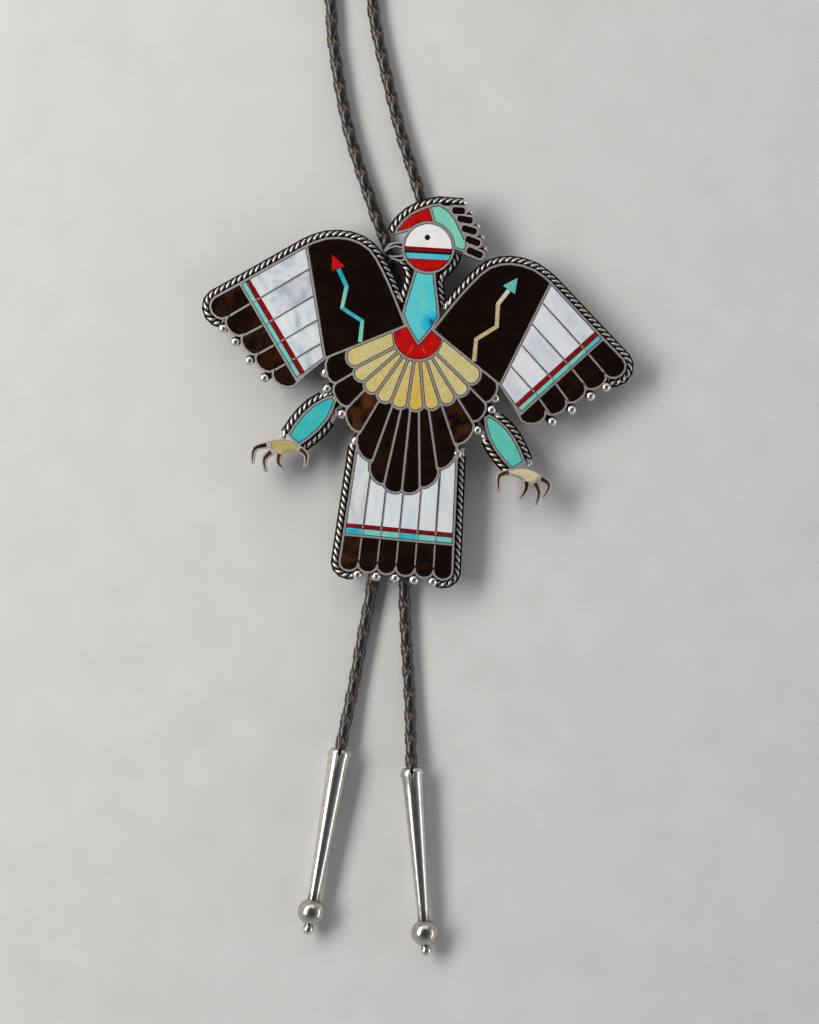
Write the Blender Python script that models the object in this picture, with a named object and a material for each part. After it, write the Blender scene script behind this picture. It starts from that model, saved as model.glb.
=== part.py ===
"""A bolo tie: a thunderbird slide in silver channel inlay on a braided leather cord with two silver tips.

The tie lies on its back, stones up. The frame is in metres with +Z up: the origin is the middle of the flat
back of the slide's clip, on the surface that the tie rests on, +Y points to the bird's crown, and left and
right are those of someone who looks down at the stones, so that +X is right.
"""

import math

import bmesh
import bpy
from mathutils import Vector

# Every size is in metres and every angle in degrees.

# The metal and its gaps
SEAM = 0.0003  # between pieces that touch
STONE_GAP = 0.0002  # round a stone in its channel
WALL = 0.0006  # the silver strip between two stones, and the bezel round the edge
SHEET = 0.0010  # the back plate
CHANNEL_DEPTH = 0.0025  # from the back plate to the top of the walls
STONE_DROP = 0.0002  # how far the stones stand below the tops of the walls
WIRE = 0.0016  # the twisted wire of the border
WIRE_GAP = 0.00025  # the dark line between the wire and the bezel
DROP = 0.0031  # a silver drop, across
DROP_SUNK = 0.25  # how high its middle lies over the plate, as a share of its width
DROP_REACH = 0.0032  # how far a drop's middle lies beyond its notch
SMALL_DROP = 0.0014

# The clip and the cord
CORD_WIDTH = 0.00405
CLIP_WALL = 0.0009
CLIP_LENGTH = 0.025
CORD_PITCH = 0.0096  # between the middles of the two runs of cord in the clip
CLIP_EDGE = 0.0008  # the rounding of the clip's long edges

# The breast and the body: two fans of feathers about one centre
FAN_UP = 0.0197  # the fans' centre above the origin
COLLAR_RADIUS = 0.0076
YELLOW_COUNT = 10
YELLOW_SPREAD = 134.7
YELLOW_NOTCH = 0.0210  # where a yellow feather's sides end
YELLOW_ROUND = 0.42  # the bulge of a feather's end, as a share of its width there
# Shares of the way from the shoulder to the wing's elbow: where the collar, the yellow feathers
# and the dark feathers end at the wing
COLLAR_SHOULDER = 0.152
YELLOW_SHOULDER = 0.651
DARK_SHOULDER = 0.920
DARK_ROOT = 0.5  # and where the outermost dark feather starts, under the yellow ones
DARK_START = 0.8  # the other dark feathers' start, as a share of YELLOW_NOTCH
DARK_NOTCH = 0.0467  # where the longest dark feathers' sides end
DARK_ROUND = 0.29
# The walls on both sides of each dark feather: the turn from straight down, and where the wall ends
# as a share of DARK_NOTCH. The first and last feather lie against the wings, so their outer walls aren't here.
DARK_WALLS = (
    # turn, reach
    (-51.0, 0.610),
    (-35.5, 0.635),
    (-22.0, 0.720),
    (-11.3, 0.857),
    (-4.2, 0.980),
    (2.7, 1.000),
    (9.3, 0.972),
    (16.8, 0.863),
    (27.2, 0.733),
    (40.7, 0.650),
    (53.3, 0.604),
)
SIDE_DROP_TURN = 59.5  # the outermost drop of each side lies in front of a feather

# A wing, laid out along its feathers and across them
WING_WIDTH = 0.0331  # across the five strips of pearl
WING_LEAN = 39.2  # how far the feathers point down
# The walls between the strips, from the top one down, as shares of WING_WIDTH
WING_WALLS = {"left": (1.000, 0.797, 0.567, 0.362, 0.162, 0.000), "right": (1.000, 0.810, 0.611, 0.413, 0.213, 0.000)}
WING_CORAL = 0.0014  # the two bars across the strips
WING_TURQUOISE = 0.0018
SHOULDER_OUT = 0.0042  # the inner corner of the wing, from the fans' centre
SHOULDER_UP = 0.0022
# Places on the wing as shares of WING_WIDTH, along the feathers from the bars and across from the lowest strip
SHOULDER = (-1.000, -0.090)
ELBOW = (-0.224, 0.027)  # lower outer corner of the dark panel
CREASE = (-0.600, 0.990)  # upper outer corner of the dark panel
HEEL = (0.000, -0.006)  # where the lower edge passes the bars
WING_TOP = ((-1.048, 0.200), (-1.075, 0.450), (-1.070, 0.668), (-0.967, 0.840), (-0.785, 0.955))
# The corners between the tips of the dark feathers, and the bulge of the feather below each
WING_NOTCHES = (
    # along, across, bulge
    (0.356, 1.010, 0.45),
    (0.350, 0.797, 0.31),
    (0.305, 0.587, 0.28),
    (0.288, 0.372, 0.32),
    (0.236, 0.170, 0.38),
    (0.100, -0.033, 0.00),
)
WING_DROPS = ((0.435, 0.731), (0.402, 0.570), (0.378, 0.360), (0.340, 0.155))
ARROW_LINE = 0.00135  # the width of the zigzag
# Each wing's arrow: the head's tip and its two back corners, and the zigzag from the head down
ARROW_HEADS = {
    "left": ((-0.758, 0.800), (-0.800, 0.655), (-0.680, 0.677)),
    "right": ((-0.835, 0.797), (-0.872, 0.651), (-0.742, 0.680)),
}
ARROW_ZIGZAGS = {
    "left": ((-0.741, 0.662), (-0.722, 0.487), (-0.588, 0.340), (-0.686, 0.145), (-0.582, 0.005)),
    "right": ((-0.805, 0.662), (-0.778, 0.505), (-0.635, 0.360), (-0.675, 0.145), (-0.548, 0.008)),
}

# The tail, laid out down from the fans' centre and across
TAIL_LEAN = 3.2  # the tail points a little to the right
TAIL_NOTCH = 0.0700
TAIL_WIDTH = 0.0340  # at the notches
TAIL_FLARE = 0.107  # how much wider the tail gets for each length down
TAIL_STRIPS = 6
TAIL_ROUND = 0.42
TAIL_CORAL = 0.0012
TAIL_TURQUOISE = 0.0022
TAIL_START = 0.430  # shares of TAIL_NOTCH: where the metal starts under the body,
TAIL_PEARL = 0.521  # where the pearl starts
TAIL_BAR = 0.832  # and where the bars start

# The neck, from its lower point to the face
NECK_LENGTH = 0.0214
NECK_WIDTH = 0.0107
NECK_LEAN = 3.5
NECK_SIDE = 0.00045  # its lower point, from the fans' centre
NECK_DROP = 0.0025
NECK_SECTIONS = (
    # share of the length from the top, share of the width
    (0.10, 0.610),
    (0.30, 0.775),
    (0.46, 0.915),
    (0.605, 1.000),
    (0.77, 0.680),
    (0.95, 0.170),
)
NECK_TO_COLLAR = 4  # from this section down, the neck's sides are the collar's

# The head
FACE_RADIUS = 0.0076
CREST_HEIGHT = 0.0058  # the crest's highest point above the face's edge
# The crest's outer edge: turn from +X about the face's centre, and height over the face's edge
# as a share of CREST_HEIGHT
CREST_TURQUOISE_EDGE = (
    (2, 0.584), (12, 0.700), (22, 0.642), (38, 0.607), (55, 0.734), (69, 0.884), (84, 1.000), (97, 0.838),
)
CREST_CORAL_EDGE = ((97, 0.838), (112, 0.690), (126, 0.637), (142, 0.584), (157, 0.584), (165, 0.538))
CREST_SEAM = 85.0
CREST_FRONT = 140.0  # here the coral leaves the face's edge
CREST_BACK = 9.0
CREST_FEATHER = 0.0027  # the width of a crest feather with one wall
# Each crest feather: its middle's root and tip about the face's centre, as shares of the crest's reach
CREST_FEATHERS = (
    # root right, root up, tip right, tip up
    (0.370, 0.895, 0.720, 0.940),
    (0.510, 0.740, 0.925, 0.740),
    (0.640, 0.550, 1.050, 0.500),
    (0.760, 0.330, 1.165, 0.250),
    (0.830, 0.090, 1.260, -0.015),
)
CREST_DROPS = ((0.850, 0.910), (1.030, 0.645), (1.157, 0.410), (1.262, 0.164))
# The two halves of the beak about the face's centre, as shares of FACE_RADIUS
BEAK_UPPER = (
    (-0.92, 0.08), (-1.30, 0.05), (-1.58, -0.09), (-1.71, -0.33), (-1.68, -0.45), (-1.51, -0.28), (-1.28, -0.17),
    (-0.92, -0.20),
)
BEAK_LOWER = ((-0.85, -0.42), (-1.26, -0.52), (-1.51, -0.54), (-1.37, -0.66), (-1.03, -0.73), (-0.78, -0.62))

# The legs, and feet with four claws each
LEG_LENGTH = 0.0177
LEG_SECTIONS = (
    # share of the length, half the width as a share of the length
    (0.02, 0.040),
    (0.15, 0.105),
    (0.35, 0.165),
    (0.56, 0.182),
    (0.78, 0.163),
    (1.00, 0.122),
)
# Each leg: its side, the hip's turn about the fans' centre, the hip's distance as a share of DARK_NOTCH,
# and the leg's own turn from straight down
LEGS = {"left": (-1, 44.7, 0.669, 35.1), "right": (1, 49.0, 0.680, 41.3)}
FOOT_WIDTH = 0.0094
FOOT_AHEAD = 0.0024  # the foot's middle from the ankle, outwards and down
FOOT_DOWN = 0.0024
CLAW_WIDTH = 0.0021
CLAW_TIP = 0.0010
# The foot and the claws lie about the foot's middle, outwards and up, as shares of FOOT_WIDTH
FOOT_EDGE = (
    (0.49, 0.065), (0.255, 0.155), (0.0, 0.20), (-0.265, 0.16), (-0.56, 0.02), (-0.38, -0.06), (-0.15, -0.09),
    (0.0, -0.17), (0.125, -0.245), (0.21, -0.255), (0.34, -0.14),
)
CLAWS = {
    # for each claw: root, bend and point
    "left": (
        ((0.43, 0.00), (0.92, -0.20), (0.94, -0.68)),
        ((0.32, -0.15), (0.575, -0.49), (0.47, -0.89)),
        ((0.12, -0.15), (0.12, -0.52), (-0.095, -0.71)),
        ((-0.40, 0.03), (-0.72, -0.16), (-0.745, -0.54)),
    ),
    "right": (
        ((0.40, 0.00), (0.80, -0.21), (0.68, -0.64)),
        ((0.28, -0.13), (0.52, -0.49), (0.49, -0.92)),
        ((0.06, -0.13), (0.105, -0.45), (-0.04, -0.80)),
        ((-0.40, 0.03), (-0.80, -0.17), (-0.745, -0.68)),
    ),
}

# The tips: hollow cones with a ball and a bead
TIP_LENGTH = 0.0499  # from the mouth to the middle of the ball
TIP_MOUTH = 0.0072
TIP_WAIST = 0.0035  # the cone's width at the ball
TIP_WALL = 0.0006
TIP_BALL = 0.0082
TIP_BEAD = 0.0034
TIP_SOCKET = 0.0103  # how deep the cord sits
TIP_FUNNEL = 0.0035  # how deep the mouth narrows to the cord
TIP_HOLLOW = 0.034  # how deep the cone is hollow
TIP_PETALS = 4
TIP_PETAL = 0.0015  # how far the petals of the mouth stand out
TIP_SIDES = 16
# Each tip: its ball's middle on the surface, and its turn from straight down
TIPS = {"left": ((-0.0057, -0.1570), -1.5), "right": ((0.0291, -0.1581), 13.2)}

# The cord's middle: from inside the left tip through the clip, round the loop that goes round the neck,
# back through the clip and into the right tip
CORD_LOW = CORD_WIDTH / 2 + 0.00001  # lying on the surface
CORD_CLIP = CLIP_WALL + SEAM + CORD_WIDTH / 2  # in the clip
CORD_TIP = TIP_MOUTH / 2  # in the mouth of a tip
CORD_ROUTE = (
    # x, y, z
    (-0.00475, -0.1182, CORD_TIP + 0.00008), (-0.00447, -0.1082, CORD_TIP), (-0.0040, -0.0990, 0.00285),
    (-0.0034, -0.0880, CORD_LOW), (-0.0028, -0.0690, CORD_LOW), (-0.0024, -0.0582, CORD_LOW),
    (-0.0032, -0.0400, 0.00215), (-0.0046, -0.0240, 0.0030), (-0.0048, -0.0150, CORD_CLIP),
    (-0.0048, 0.0150, CORD_CLIP), (-0.0066, 0.0270, 0.0027), (-0.0129, 0.0443, CORD_LOW),
    (-0.0190, 0.0556, CORD_LOW), (-0.0306, 0.0795, CORD_LOW), (-0.0388, 0.1041, CORD_LOW),
    (-0.0416, 0.1165, CORD_LOW), (-0.0480, 0.1340, CORD_LOW), (-0.0590, 0.1520, CORD_LOW),
    (-0.0635, 0.1800, CORD_LOW), (-0.0610, 0.2090, CORD_LOW), (-0.0450, 0.2310, CORD_LOW),
    (-0.0160, 0.2405, CORD_LOW), (0.0160, 0.2410, CORD_LOW), (0.0460, 0.2320, CORD_LOW),
    (0.0620, 0.2090, CORD_LOW), (0.0640, 0.1800, CORD_LOW), (0.0570, 0.1530, CORD_LOW),
    (0.0380, 0.1390, CORD_LOW), (0.0120, 0.1380, CORD_LOW), (-0.0145, 0.1425, CORD_LOW),
    (-0.0256, 0.1380, CORD_LOW), (-0.0303, 0.1280, CORD_LOW), (-0.0286, 0.1170, CORD_LOW),
    (-0.0251, 0.1062, CORD_LOW),
    (-0.0153, 0.0820, CORD_LOW), (-0.0058, 0.0619, CORD_LOW), (-0.0002, 0.0460, 0.00210),
    (0.0038, 0.0280, 0.0028), (0.0048, 0.0150, CORD_CLIP), (0.0048, -0.0150, CORD_CLIP),
    (0.0050, -0.0240, 0.0030), (0.0062, -0.0420, 0.00215), (0.0075, -0.0567, CORD_LOW),
    (0.0094, -0.0671, CORD_LOW), (0.0143, -0.0903, CORD_LOW), (0.01615, -0.1010, 0.00285),
    (0.01795, -0.1105, CORD_TIP), (0.01976, -0.1182, CORD_TIP + 0.00008),
)
CORD_STEP = 2.8 * CORD_WIDTH  # the longest step between two points of the cord

# Heights
CHANNEL = CORD_WIDTH + 2 * SEAM
CLIP_HEIGHT = CHANNEL + 2 * CLIP_WALL
PLATE_Z = CLIP_HEIGHT + SEAM
FLOOR_Z = PLATE_Z + SHEET
TOP_Z = FLOOR_Z + CHANNEL_DEPTH
STONE_Z = TOP_Z - STONE_DROP

CREST_REACH = FACE_RADIUS + CREST_HEIGHT

INSET_POCKET = -WALL / 2
INSET_STONE = -WALL / 2 - STONE_GAP
LAP = WALL / 2 + STONE_GAP / 2  # how far a cell reaches past a bare joint, so that its inset leaves half a gap
BORDER = WALL / 2 + WIRE_GAP + WIRE / 2  # from the middle of a bezel to the middle of the wire beside it

# Colour, metallic and roughness
LOOKS = {
    "silver": ((0.62, 0.60, 0.57), 1.0, 0.25),
    "dark_shell": ((0.020, 0.008, 0.004), 0.0, 0.15),
    "turquoise": ((0.10, 0.56, 0.55), 0.0, 0.30),
    "coral": ((0.60, 0.01, 0.005), 0.0, 0.22),
    "pearl": ((0.70, 0.72, 0.74), 0.0, 0.18),
    "gold_pearl": ((0.62, 0.53, 0.24), 0.0, 0.22),
    "leather": ((0.015, 0.014, 0.014), 0.0, 0.45),
}


# Outlines


def pairs(points):
    """Each point with the next one, all the way round."""
    return zip(points, points[1:] + points[:1])


def counter_clockwise(outline):
    area = sum(a.x * b.y - b.x * a.y for a, b in pairs(outline))
    return outline if area > 0 else outline[::-1]


def grown(outline, amount):
    """The outline with each side moved outwards by amount, or inwards where amount is below zero."""
    outline = counter_clockwise(outline)
    moved = []
    for before, here, after in zip(outline[-1:] + outline[:-1], outline, outline[1:] + outline[:1]):
        one = (here - before).normalized()
        two = (after - here).normalized()
        outwards = Vector((one.y + two.y, -one.x - two.x))
        moved.append(here + outwards * amount / max(1 + one.dot(two), 0.25))
    return moved


def round_end(start, end, bulge, steps=6):
    """Points of half an ellipse from start to end that bulges to the right by a share of their distance."""
    middle = (start + end) / 2
    half = (end - start) / 2
    out = Vector((half.y, -half.x)) * 2 * bulge
    angles = [math.pi * step / steps for step in range(steps + 1)]
    return [middle - half * math.cos(angle) + out * math.sin(angle) for angle in angles]


def scallops(corners, bulges):
    """Round ends side by side, from corner to corner."""
    edge = corners[:1]
    for start, end, bulge in zip(corners, corners[1:], bulges):
        edge += round_end(start, end, bulge)[1:]
    return edge


def smooth(points, steps):
    """Points of a smooth curve through the given points, steps to each span or one number for each."""
    if isinstance(steps, int):
        steps = [steps] * (len(points) - 1)
    curve = []
    for index, count in enumerate(steps):
        before = points[max(index - 1, 0)]
        start, end = points[index], points[index + 1]
        after = points[min(index + 2, len(points) - 1)]
        for step in range(count):
            t = step / count
            curve.append(
                (
                    2 * start
                    + (end - before) * t
                    + (2 * before - 5 * start + 4 * end - after) * t**2
                    + (3 * start - before - 3 * end + after) * t**3
                )
                / 2
            )
    return curve + [points[-1]]


def beside(route, distance):
    """The route moved to its left by distance, or to its right where distance is below zero."""
    moved = []
    for index, here in enumerate(route):
        one = (here - route[max(index - 1, 0)]).normalized()
        two = (route[min(index + 1, len(route) - 1)] - here).normalized()
        along = (one + two).normalized()
        moved.append(here + Vector((-along.y, along.x)) * distance)
    return moved


def band(route, width):
    """The outline of a flat strip of even width along a route."""
    return beside(route, -width / 2) + beside(route, width / 2)[::-1]


# Solids


def new_object(name, mesh, look=None):
    body = bpy.data.objects.new(name, mesh)
    bpy.context.scene.collection.objects.link(body)
    if look:
        mesh.materials.append(look)
    return body


def new_material(name, look):
    colour, metallic, roughness = LOOKS[look]
    material = bpy.data.materials.new(name)
    material.use_nodes = True
    surface = material.node_tree.nodes["Principled BSDF"]
    surface.inputs["Base Color"].default_value = (*colour, 1.0)
    surface.inputs["Metallic"].default_value = metallic
    surface.inputs["Roughness"].default_value = roughness
    return material


def solid(name, outline, low, high, look=None):
    """An upright solid between two heights, with its origin in the middle of its foot."""
    outline = counter_clockwise(outline)
    middle = sum(outline, Vector((0, 0))) / len(outline)
    mesh = bpy.data.meshes.new(name)
    shape = bmesh.new()
    foot = shape.faces.new([shape.verts.new((*(point - middle), 0)) for point in reversed(outline)])
    raised = bmesh.ops.extrude_face_region(shape, geom=[foot], use_keep_orig=True)["geom"]
    bmesh.ops.translate(shape, verts=[v for v in raised if isinstance(v, bmesh.types.BMVert)], vec=(0, 0, high - low))
    bmesh.ops.recalc_face_normals(shape, faces=shape.faces)
    shape.to_mesh(mesh)
    shape.free()
    body = new_object(name, mesh, new_material(name, look) if look else None)
    body.location = (*middle, low)
    return body


def wire(name, route, width, height, sides=6):
    """A round wire along a level route at a height."""
    mesh = bpy.data.meshes.new(name)
    shape = bmesh.new()
    rings = []
    for here, edge in zip(route, beside(route, -width / 2)):
        out = edge - here
        ring = []
        for side in range(sides):
            angle = 2 * math.pi * side / sides
            ring.append(shape.verts.new((*(here + out * math.cos(angle)), height + width / 2 * math.sin(angle))))
        rings.append(ring)
    for one, two in zip(rings, rings[1:]):
        for (a, b), (c, d) in zip(pairs(one), pairs(two)):
            shape.faces.new((a, b, d, c))
    shape.faces.new(rings[0])
    shape.faces.new(rings[-1])
    bmesh.ops.recalc_face_normals(shape, faces=shape.faces)
    shape.to_mesh(mesh)
    shape.free()
    return new_object(name, mesh)


def drop(name, place, width, height):
    """A small silver ball."""
    mesh = bpy.data.meshes.new(name)
    shape = bmesh.new()
    bmesh.ops.create_icosphere(shape, subdivisions=2 if width > SMALL_DROP else 1, radius=width / 2)
    shape.to_mesh(mesh)
    shape.free()
    body = new_object(name, mesh)
    body.location = (*place, height)
    return body


def boolean(body, operation, operands, solver="EXACT"):
    """Joins the operands to the body or cuts them out of it."""
    group = bpy.data.collections.new(f"{body.name} {operation.lower()}")
    bpy.context.scene.collection.children.link(group)
    for operand in operands:
        bpy.context.scene.collection.objects.unlink(operand)
        group.objects.link(operand)
        operand.hide_render = True
        operand.display_type = "WIRE"
    modifier = body.modifiers.new(operation.title(), "BOOLEAN")
    modifier.operation = operation
    modifier.solver = solver
    modifier.operand_type = "COLLECTION"
    modifier.collection = group
    return modifier


# Where things lie


def fan_point(turn, reach):
    """A place about the fans' centre: a turn from straight down, and a distance."""
    angle = math.radians(turn)
    return Vector((reach * math.sin(angle), FAN_UP - reach * math.cos(angle)))


def wing_point(along, across, side=1):
    """A place on a wing, in shares of WING_WIDTH."""
    lean = math.radians(WING_LEAN)
    feathers = Vector((math.cos(lean), -math.sin(lean)))
    upwards = Vector((math.sin(lean), math.cos(lean)))
    corner = Vector((SHOULDER_OUT, FAN_UP + SHOULDER_UP))
    place = corner + WING_WIDTH * (feathers * (along - SHOULDER[0]) + upwards * (across - SHOULDER[1]))
    return Vector((side * place.x, place.y))


def shoulder_point(share, side=1):
    """A place on the wall between a wing and the feathers under it."""
    return wing_point(*SHOULDER, side).lerp(wing_point(*ELBOW, side), share)


def tail_point(down, across):
    """A place on the tail, down from the fans' centre and across, in metres."""
    lean = math.radians(TAIL_LEAN)
    return Vector((0, FAN_UP)) + Vector(
        (down * math.sin(lean) + across * math.cos(lean), across * math.sin(lean) - down * math.cos(lean))
    )


def tail_half(down):
    """Half the tail's width at a distance down."""
    return TAIL_WIDTH / 2 - (TAIL_NOTCH - down) * TAIL_FLARE / 2


def neck_point(down, side=0.0):
    """A place on the neck: a share of its length from the top, and a share of half its width."""
    lean = math.radians(NECK_LEAN)
    up = Vector((-math.sin(lean), math.cos(lean)))
    tip = Vector((NECK_SIDE, FAN_UP - NECK_DROP))
    return tip + up * NECK_LENGTH * (1 - down) + Vector((up.y, -up.x)) * side * NECK_WIDTH / 2


def face_point(turn, distance):
    """A place about the face's centre: a turn from +X, and a distance."""
    centre = neck_point(0) + Vector((0, FACE_RADIUS))
    return centre + distance * Vector((math.cos(math.radians(turn)), math.sin(math.radians(turn))))


def head_point(right, up, size):
    """A place about the face's centre, in shares of a size."""
    return face_point(0, 0) + Vector((right, up)) * size


def face_arc(start, end, distance, steps):
    return [face_point(start + (end - start) * step / steps, distance) for step in range(steps + 1)]


def leg_point(name, along, across):
    """A place on a leg, in shares of LEG_LENGTH, outwards being positive."""
    side, hip_turn, hip_reach, turn = LEGS[name]
    hip = fan_point(hip_turn, hip_reach * DARK_NOTCH)
    angle = math.radians(turn)
    down = Vector((math.sin(angle), -math.cos(angle)))
    place = hip + LEG_LENGTH * (down * along + Vector((-down.y, down.x)) * across)
    return Vector((side * place.x, place.y))


def foot_point(name, outwards, up):
    """A place on a foot, in shares of FOOT_WIDTH."""
    side = LEGS[name][0]
    ankle = leg_point(name, 1, 0)
    return ankle + Vector((side * (FOOT_AHEAD + outwards * FOOT_WIDTH), up * FOOT_WIDTH - FOOT_DOWN))


# The feathers' own outlines, along the middles of their walls


def yellow_turn(index):
    return YELLOW_SPREAD * (index / YELLOW_COUNT - 0.5)


def yellow_end(index):
    """Where the wall before a yellow feather ends. The first and the last wall are the wings'."""
    if index in (0, YELLOW_COUNT):
        return shoulder_point(YELLOW_SHOULDER, 1 if index else -1)
    return fan_point(yellow_turn(index), YELLOW_NOTCH)


def yellow_cell(index):
    if index in (0, YELLOW_COUNT - 1):
        outer_root = shoulder_point(COLLAR_SHOULDER, 1 if index else -1)
    roots = [fan_point(yellow_turn(wall), COLLAR_RADIUS) for wall in (index, index + 1)]
    if index == 0:
        roots[0] = outer_root
    if index == YELLOW_COUNT - 1:
        roots[1] = outer_root
    return roots[::-1] + round_end(yellow_end(index), yellow_end(index + 1), YELLOW_ROUND)


def yellow_fan():
    """The outline of all the yellow feathers."""
    ends = [yellow_end(index) for index in range(YELLOW_COUNT + 1)]
    return [fan_point(0, -COLLAR_RADIUS)] + scallops(ends, [YELLOW_ROUND] * YELLOW_COUNT)


def dark_end(index):
    if index in (0, len(DARK_WALLS) + 1):
        return shoulder_point(DARK_SHOULDER, 1 if index else -1)
    turn, reach = DARK_WALLS[index - 1]
    return fan_point(turn, reach * DARK_NOTCH)


def dark_root(index):
    if index in (0, len(DARK_WALLS) + 1):
        return shoulder_point(DARK_ROOT, 1 if index else -1)
    return fan_point(DARK_WALLS[index - 1][0], YELLOW_NOTCH * DARK_START)


def dark_cell(index):
    return [dark_root(index + 1), dark_root(index)] + round_end(dark_end(index), dark_end(index + 1), DARK_ROUND)


def body_fan():
    """The outline of the breast and the body, up to the wings' shoulders."""
    ends = [dark_end(index) for index in range(len(DARK_WALLS) + 2)]
    shoulders = [wing_point(*SHOULDER, 1), wing_point(*SHOULDER, -1)]
    return shoulders + scallops(ends, [DARK_ROUND] * (len(ends) - 1))


def wing_bar_end():
    """The outer edge of the wing's bars, as a share of WING_WIDTH."""
    return (WING_CORAL + WING_TURQUOISE) / WING_WIDTH


def wing_tips(side):
    """The round ends of the wing's dark feathers, from the top one down."""
    corners = [wing_point(along, across, side) for along, across, _ in WING_NOTCHES]
    return scallops(corners, [-side * bulge for _, _, bulge in WING_NOTCHES])


def wing_top(side):
    """The curved upper edge of the wing's dark panel, from the shoulder out."""
    return smooth([wing_point(*place, side) for place in (SHOULDER, *WING_TOP, CREASE)], 2)


def wing_outline(side):
    return wing_top(side) + [wing_point(0, 1, side)] + wing_tips(side) + [
        wing_point(*HEEL, side),
        wing_point(*ELBOW, side),
    ]


def tail_tips():
    """The round ends of the tail's dark feathers, from left to right."""
    corners = [tail_point(TAIL_NOTCH, TAIL_WIDTH * (wall / TAIL_STRIPS - 0.5)) for wall in range(TAIL_STRIPS + 1)]
    return scallops(corners, [TAIL_ROUND] * TAIL_STRIPS)


def tail_row(down):
    """The tail's left and right edge at a distance down."""
    return [tail_point(down, -tail_half(down)), tail_point(down, tail_half(down))]


def neck_outline():
    right = [neck_point(down, share) for down, share in NECK_SECTIONS]
    left = [neck_point(down, -share) for down, share in reversed(NECK_SECTIONS)]
    return face_arc(250, 292, FACE_RADIUS, 4) + right + [neck_point(1)] + left


def collar_outline():
    arc = [fan_point(turn, COLLAR_RADIUS) for turn in range(-90, 91, 15)]
    right = [neck_point(down, share) for down, share in NECK_SECTIONS[NECK_TO_COLLAR:]]
    left = [neck_point(down, -share) for down, share in reversed(NECK_SECTIONS[NECK_TO_COLLAR:])]
    return arc + [wing_point(*SHOULDER, 1)] + right + [neck_point(1)] + left + [wing_point(*SHOULDER, -1)]


def crest_edge(edge):
    return [face_point(turn, FACE_RADIUS + share * CREST_HEIGHT) for turn, share in edge]


def crest_outline(edge):
    """The crest outside the face, under one stretch of its outer edge."""
    outer = crest_edge(edge)
    if edge is CREST_CORAL_EDGE:
        return outer + face_arc(CREST_FRONT, CREST_SEAM, FACE_RADIUS, 4)
    return outer + face_arc(CREST_SEAM, CREST_BACK, FACE_RADIUS, 6)


def crest_feather(root_right, root_up, tip_right, tip_up):
    root = head_point(root_right, root_up, CREST_REACH)
    tip = head_point(tip_right, tip_up, CREST_REACH)
    along = (tip - root).normalized()
    across = Vector((-along.y, along.x)) * CREST_FEATHER / 2
    shoulder = tip - along * CREST_FEATHER * 0.35
    return [root + across, root - across] + round_end(shoulder - across, shoulder + across, 0.35, 4)


def leg_outline(name):
    outer = [leg_point(name, along, half) for along, half in LEG_SECTIONS]
    inner = [leg_point(name, along, -half) for along, half in reversed(LEG_SECTIONS)]
    return outer + inner


def claw_outline(name, root, bend, point):
    """A horn that bends from its root to its point."""
    route = smooth([foot_point(name, *place) for place in (root, bend, point)], 4)
    near, far = beside(route, 0.5), beside(route, -0.5)
    widths = [CLAW_WIDTH + (CLAW_TIP - CLAW_WIDTH) * step / (len(route) - 1) for step in range(len(route))]
    near = [here + (one - here) * width for here, one, width in zip(route, near, widths)]
    far = [here + (two - here) * width for here, two, width in zip(route, far, widths)]
    return near + far[::-1]


# The sub-parts


def stone(name, outline, look):
    """One stone in its channel."""
    return solid(name, grown(outline, INSET_STONE), FLOOR_Z + SEAM, STONE_Z, look)


def pocket(name, outline):
    """The room that a stone's channel takes out of the silver."""
    return solid(name, grown(outline, INSET_POCKET), FLOOR_Z, TOP_Z + WALL)


def field(name, outline, strips, look):
    """Several stones fused with the walls between them: a slab, lowered over each strip."""
    body = solid(name, grown(outline, INSET_STONE), FLOOR_Z + SEAM, TOP_Z, look)
    cutters = [
        solid(f"{name} strip {number}", grown(strip, INSET_POCKET), STONE_Z, TOP_Z + WALL)
        for number, strip in enumerate(strips)
    ]
    boolean(body, "DIFFERENCE", cutters)


def wing_strips(word, side, start, end):
    """The cells of the strips across a wing field. They reach past its ends, and past its top and bottom."""
    shares = list(WING_WALLS[word])
    shares[0] += 2 * WALL / WING_WIDTH
    shares[-1] -= 4 * WALL / WING_WIDTH
    return [
        [wing_point(start, high, side), wing_point(end, high, side), wing_point(end, low, side),
         wing_point(start, low, side)]
        for high, low in zip(shares, shares[1:])
    ]


def wing_tip_strips(word, side):
    """The cells of a wing's dark feathers, open past their tips."""
    start = wing_bar_end() - 2 * WALL / WING_WIDTH
    walls = WING_WALLS[word]
    strips = []
    for number, (high, low) in enumerate(zip(WING_NOTCHES, WING_NOTCHES[1:])):
        past = 10 * WALL / WING_WIDTH
        top = 2 * WALL / WING_WIDTH if number == 0 else 0
        bottom = 4 * WALL / WING_WIDTH if number == len(walls) - 2 else 0
        strips.append(
            [
                wing_point(start, walls[number] + top, side),
                wing_point(high[0] + past, high[1] + top, side),
                wing_point(low[0] + past, low[1] - bottom, side),
                wing_point(start, walls[number + 1] - bottom, side),
            ]
        )
    return strips


def arrow_outline(word, side):
    """The arrow's head and its zigzag in one piece."""
    tip, inner, outer = [wing_point(*place, side) for place in ARROW_HEADS[word]]
    route = [wing_point(*place, side) for place in ARROW_ZIGZAGS[word]]
    near, far = beside(route, side * ARROW_LINE / 2), beside(route, -side * ARROW_LINE / 2)
    return [tip, inner] + far + near[::-1] + [outer]


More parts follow.
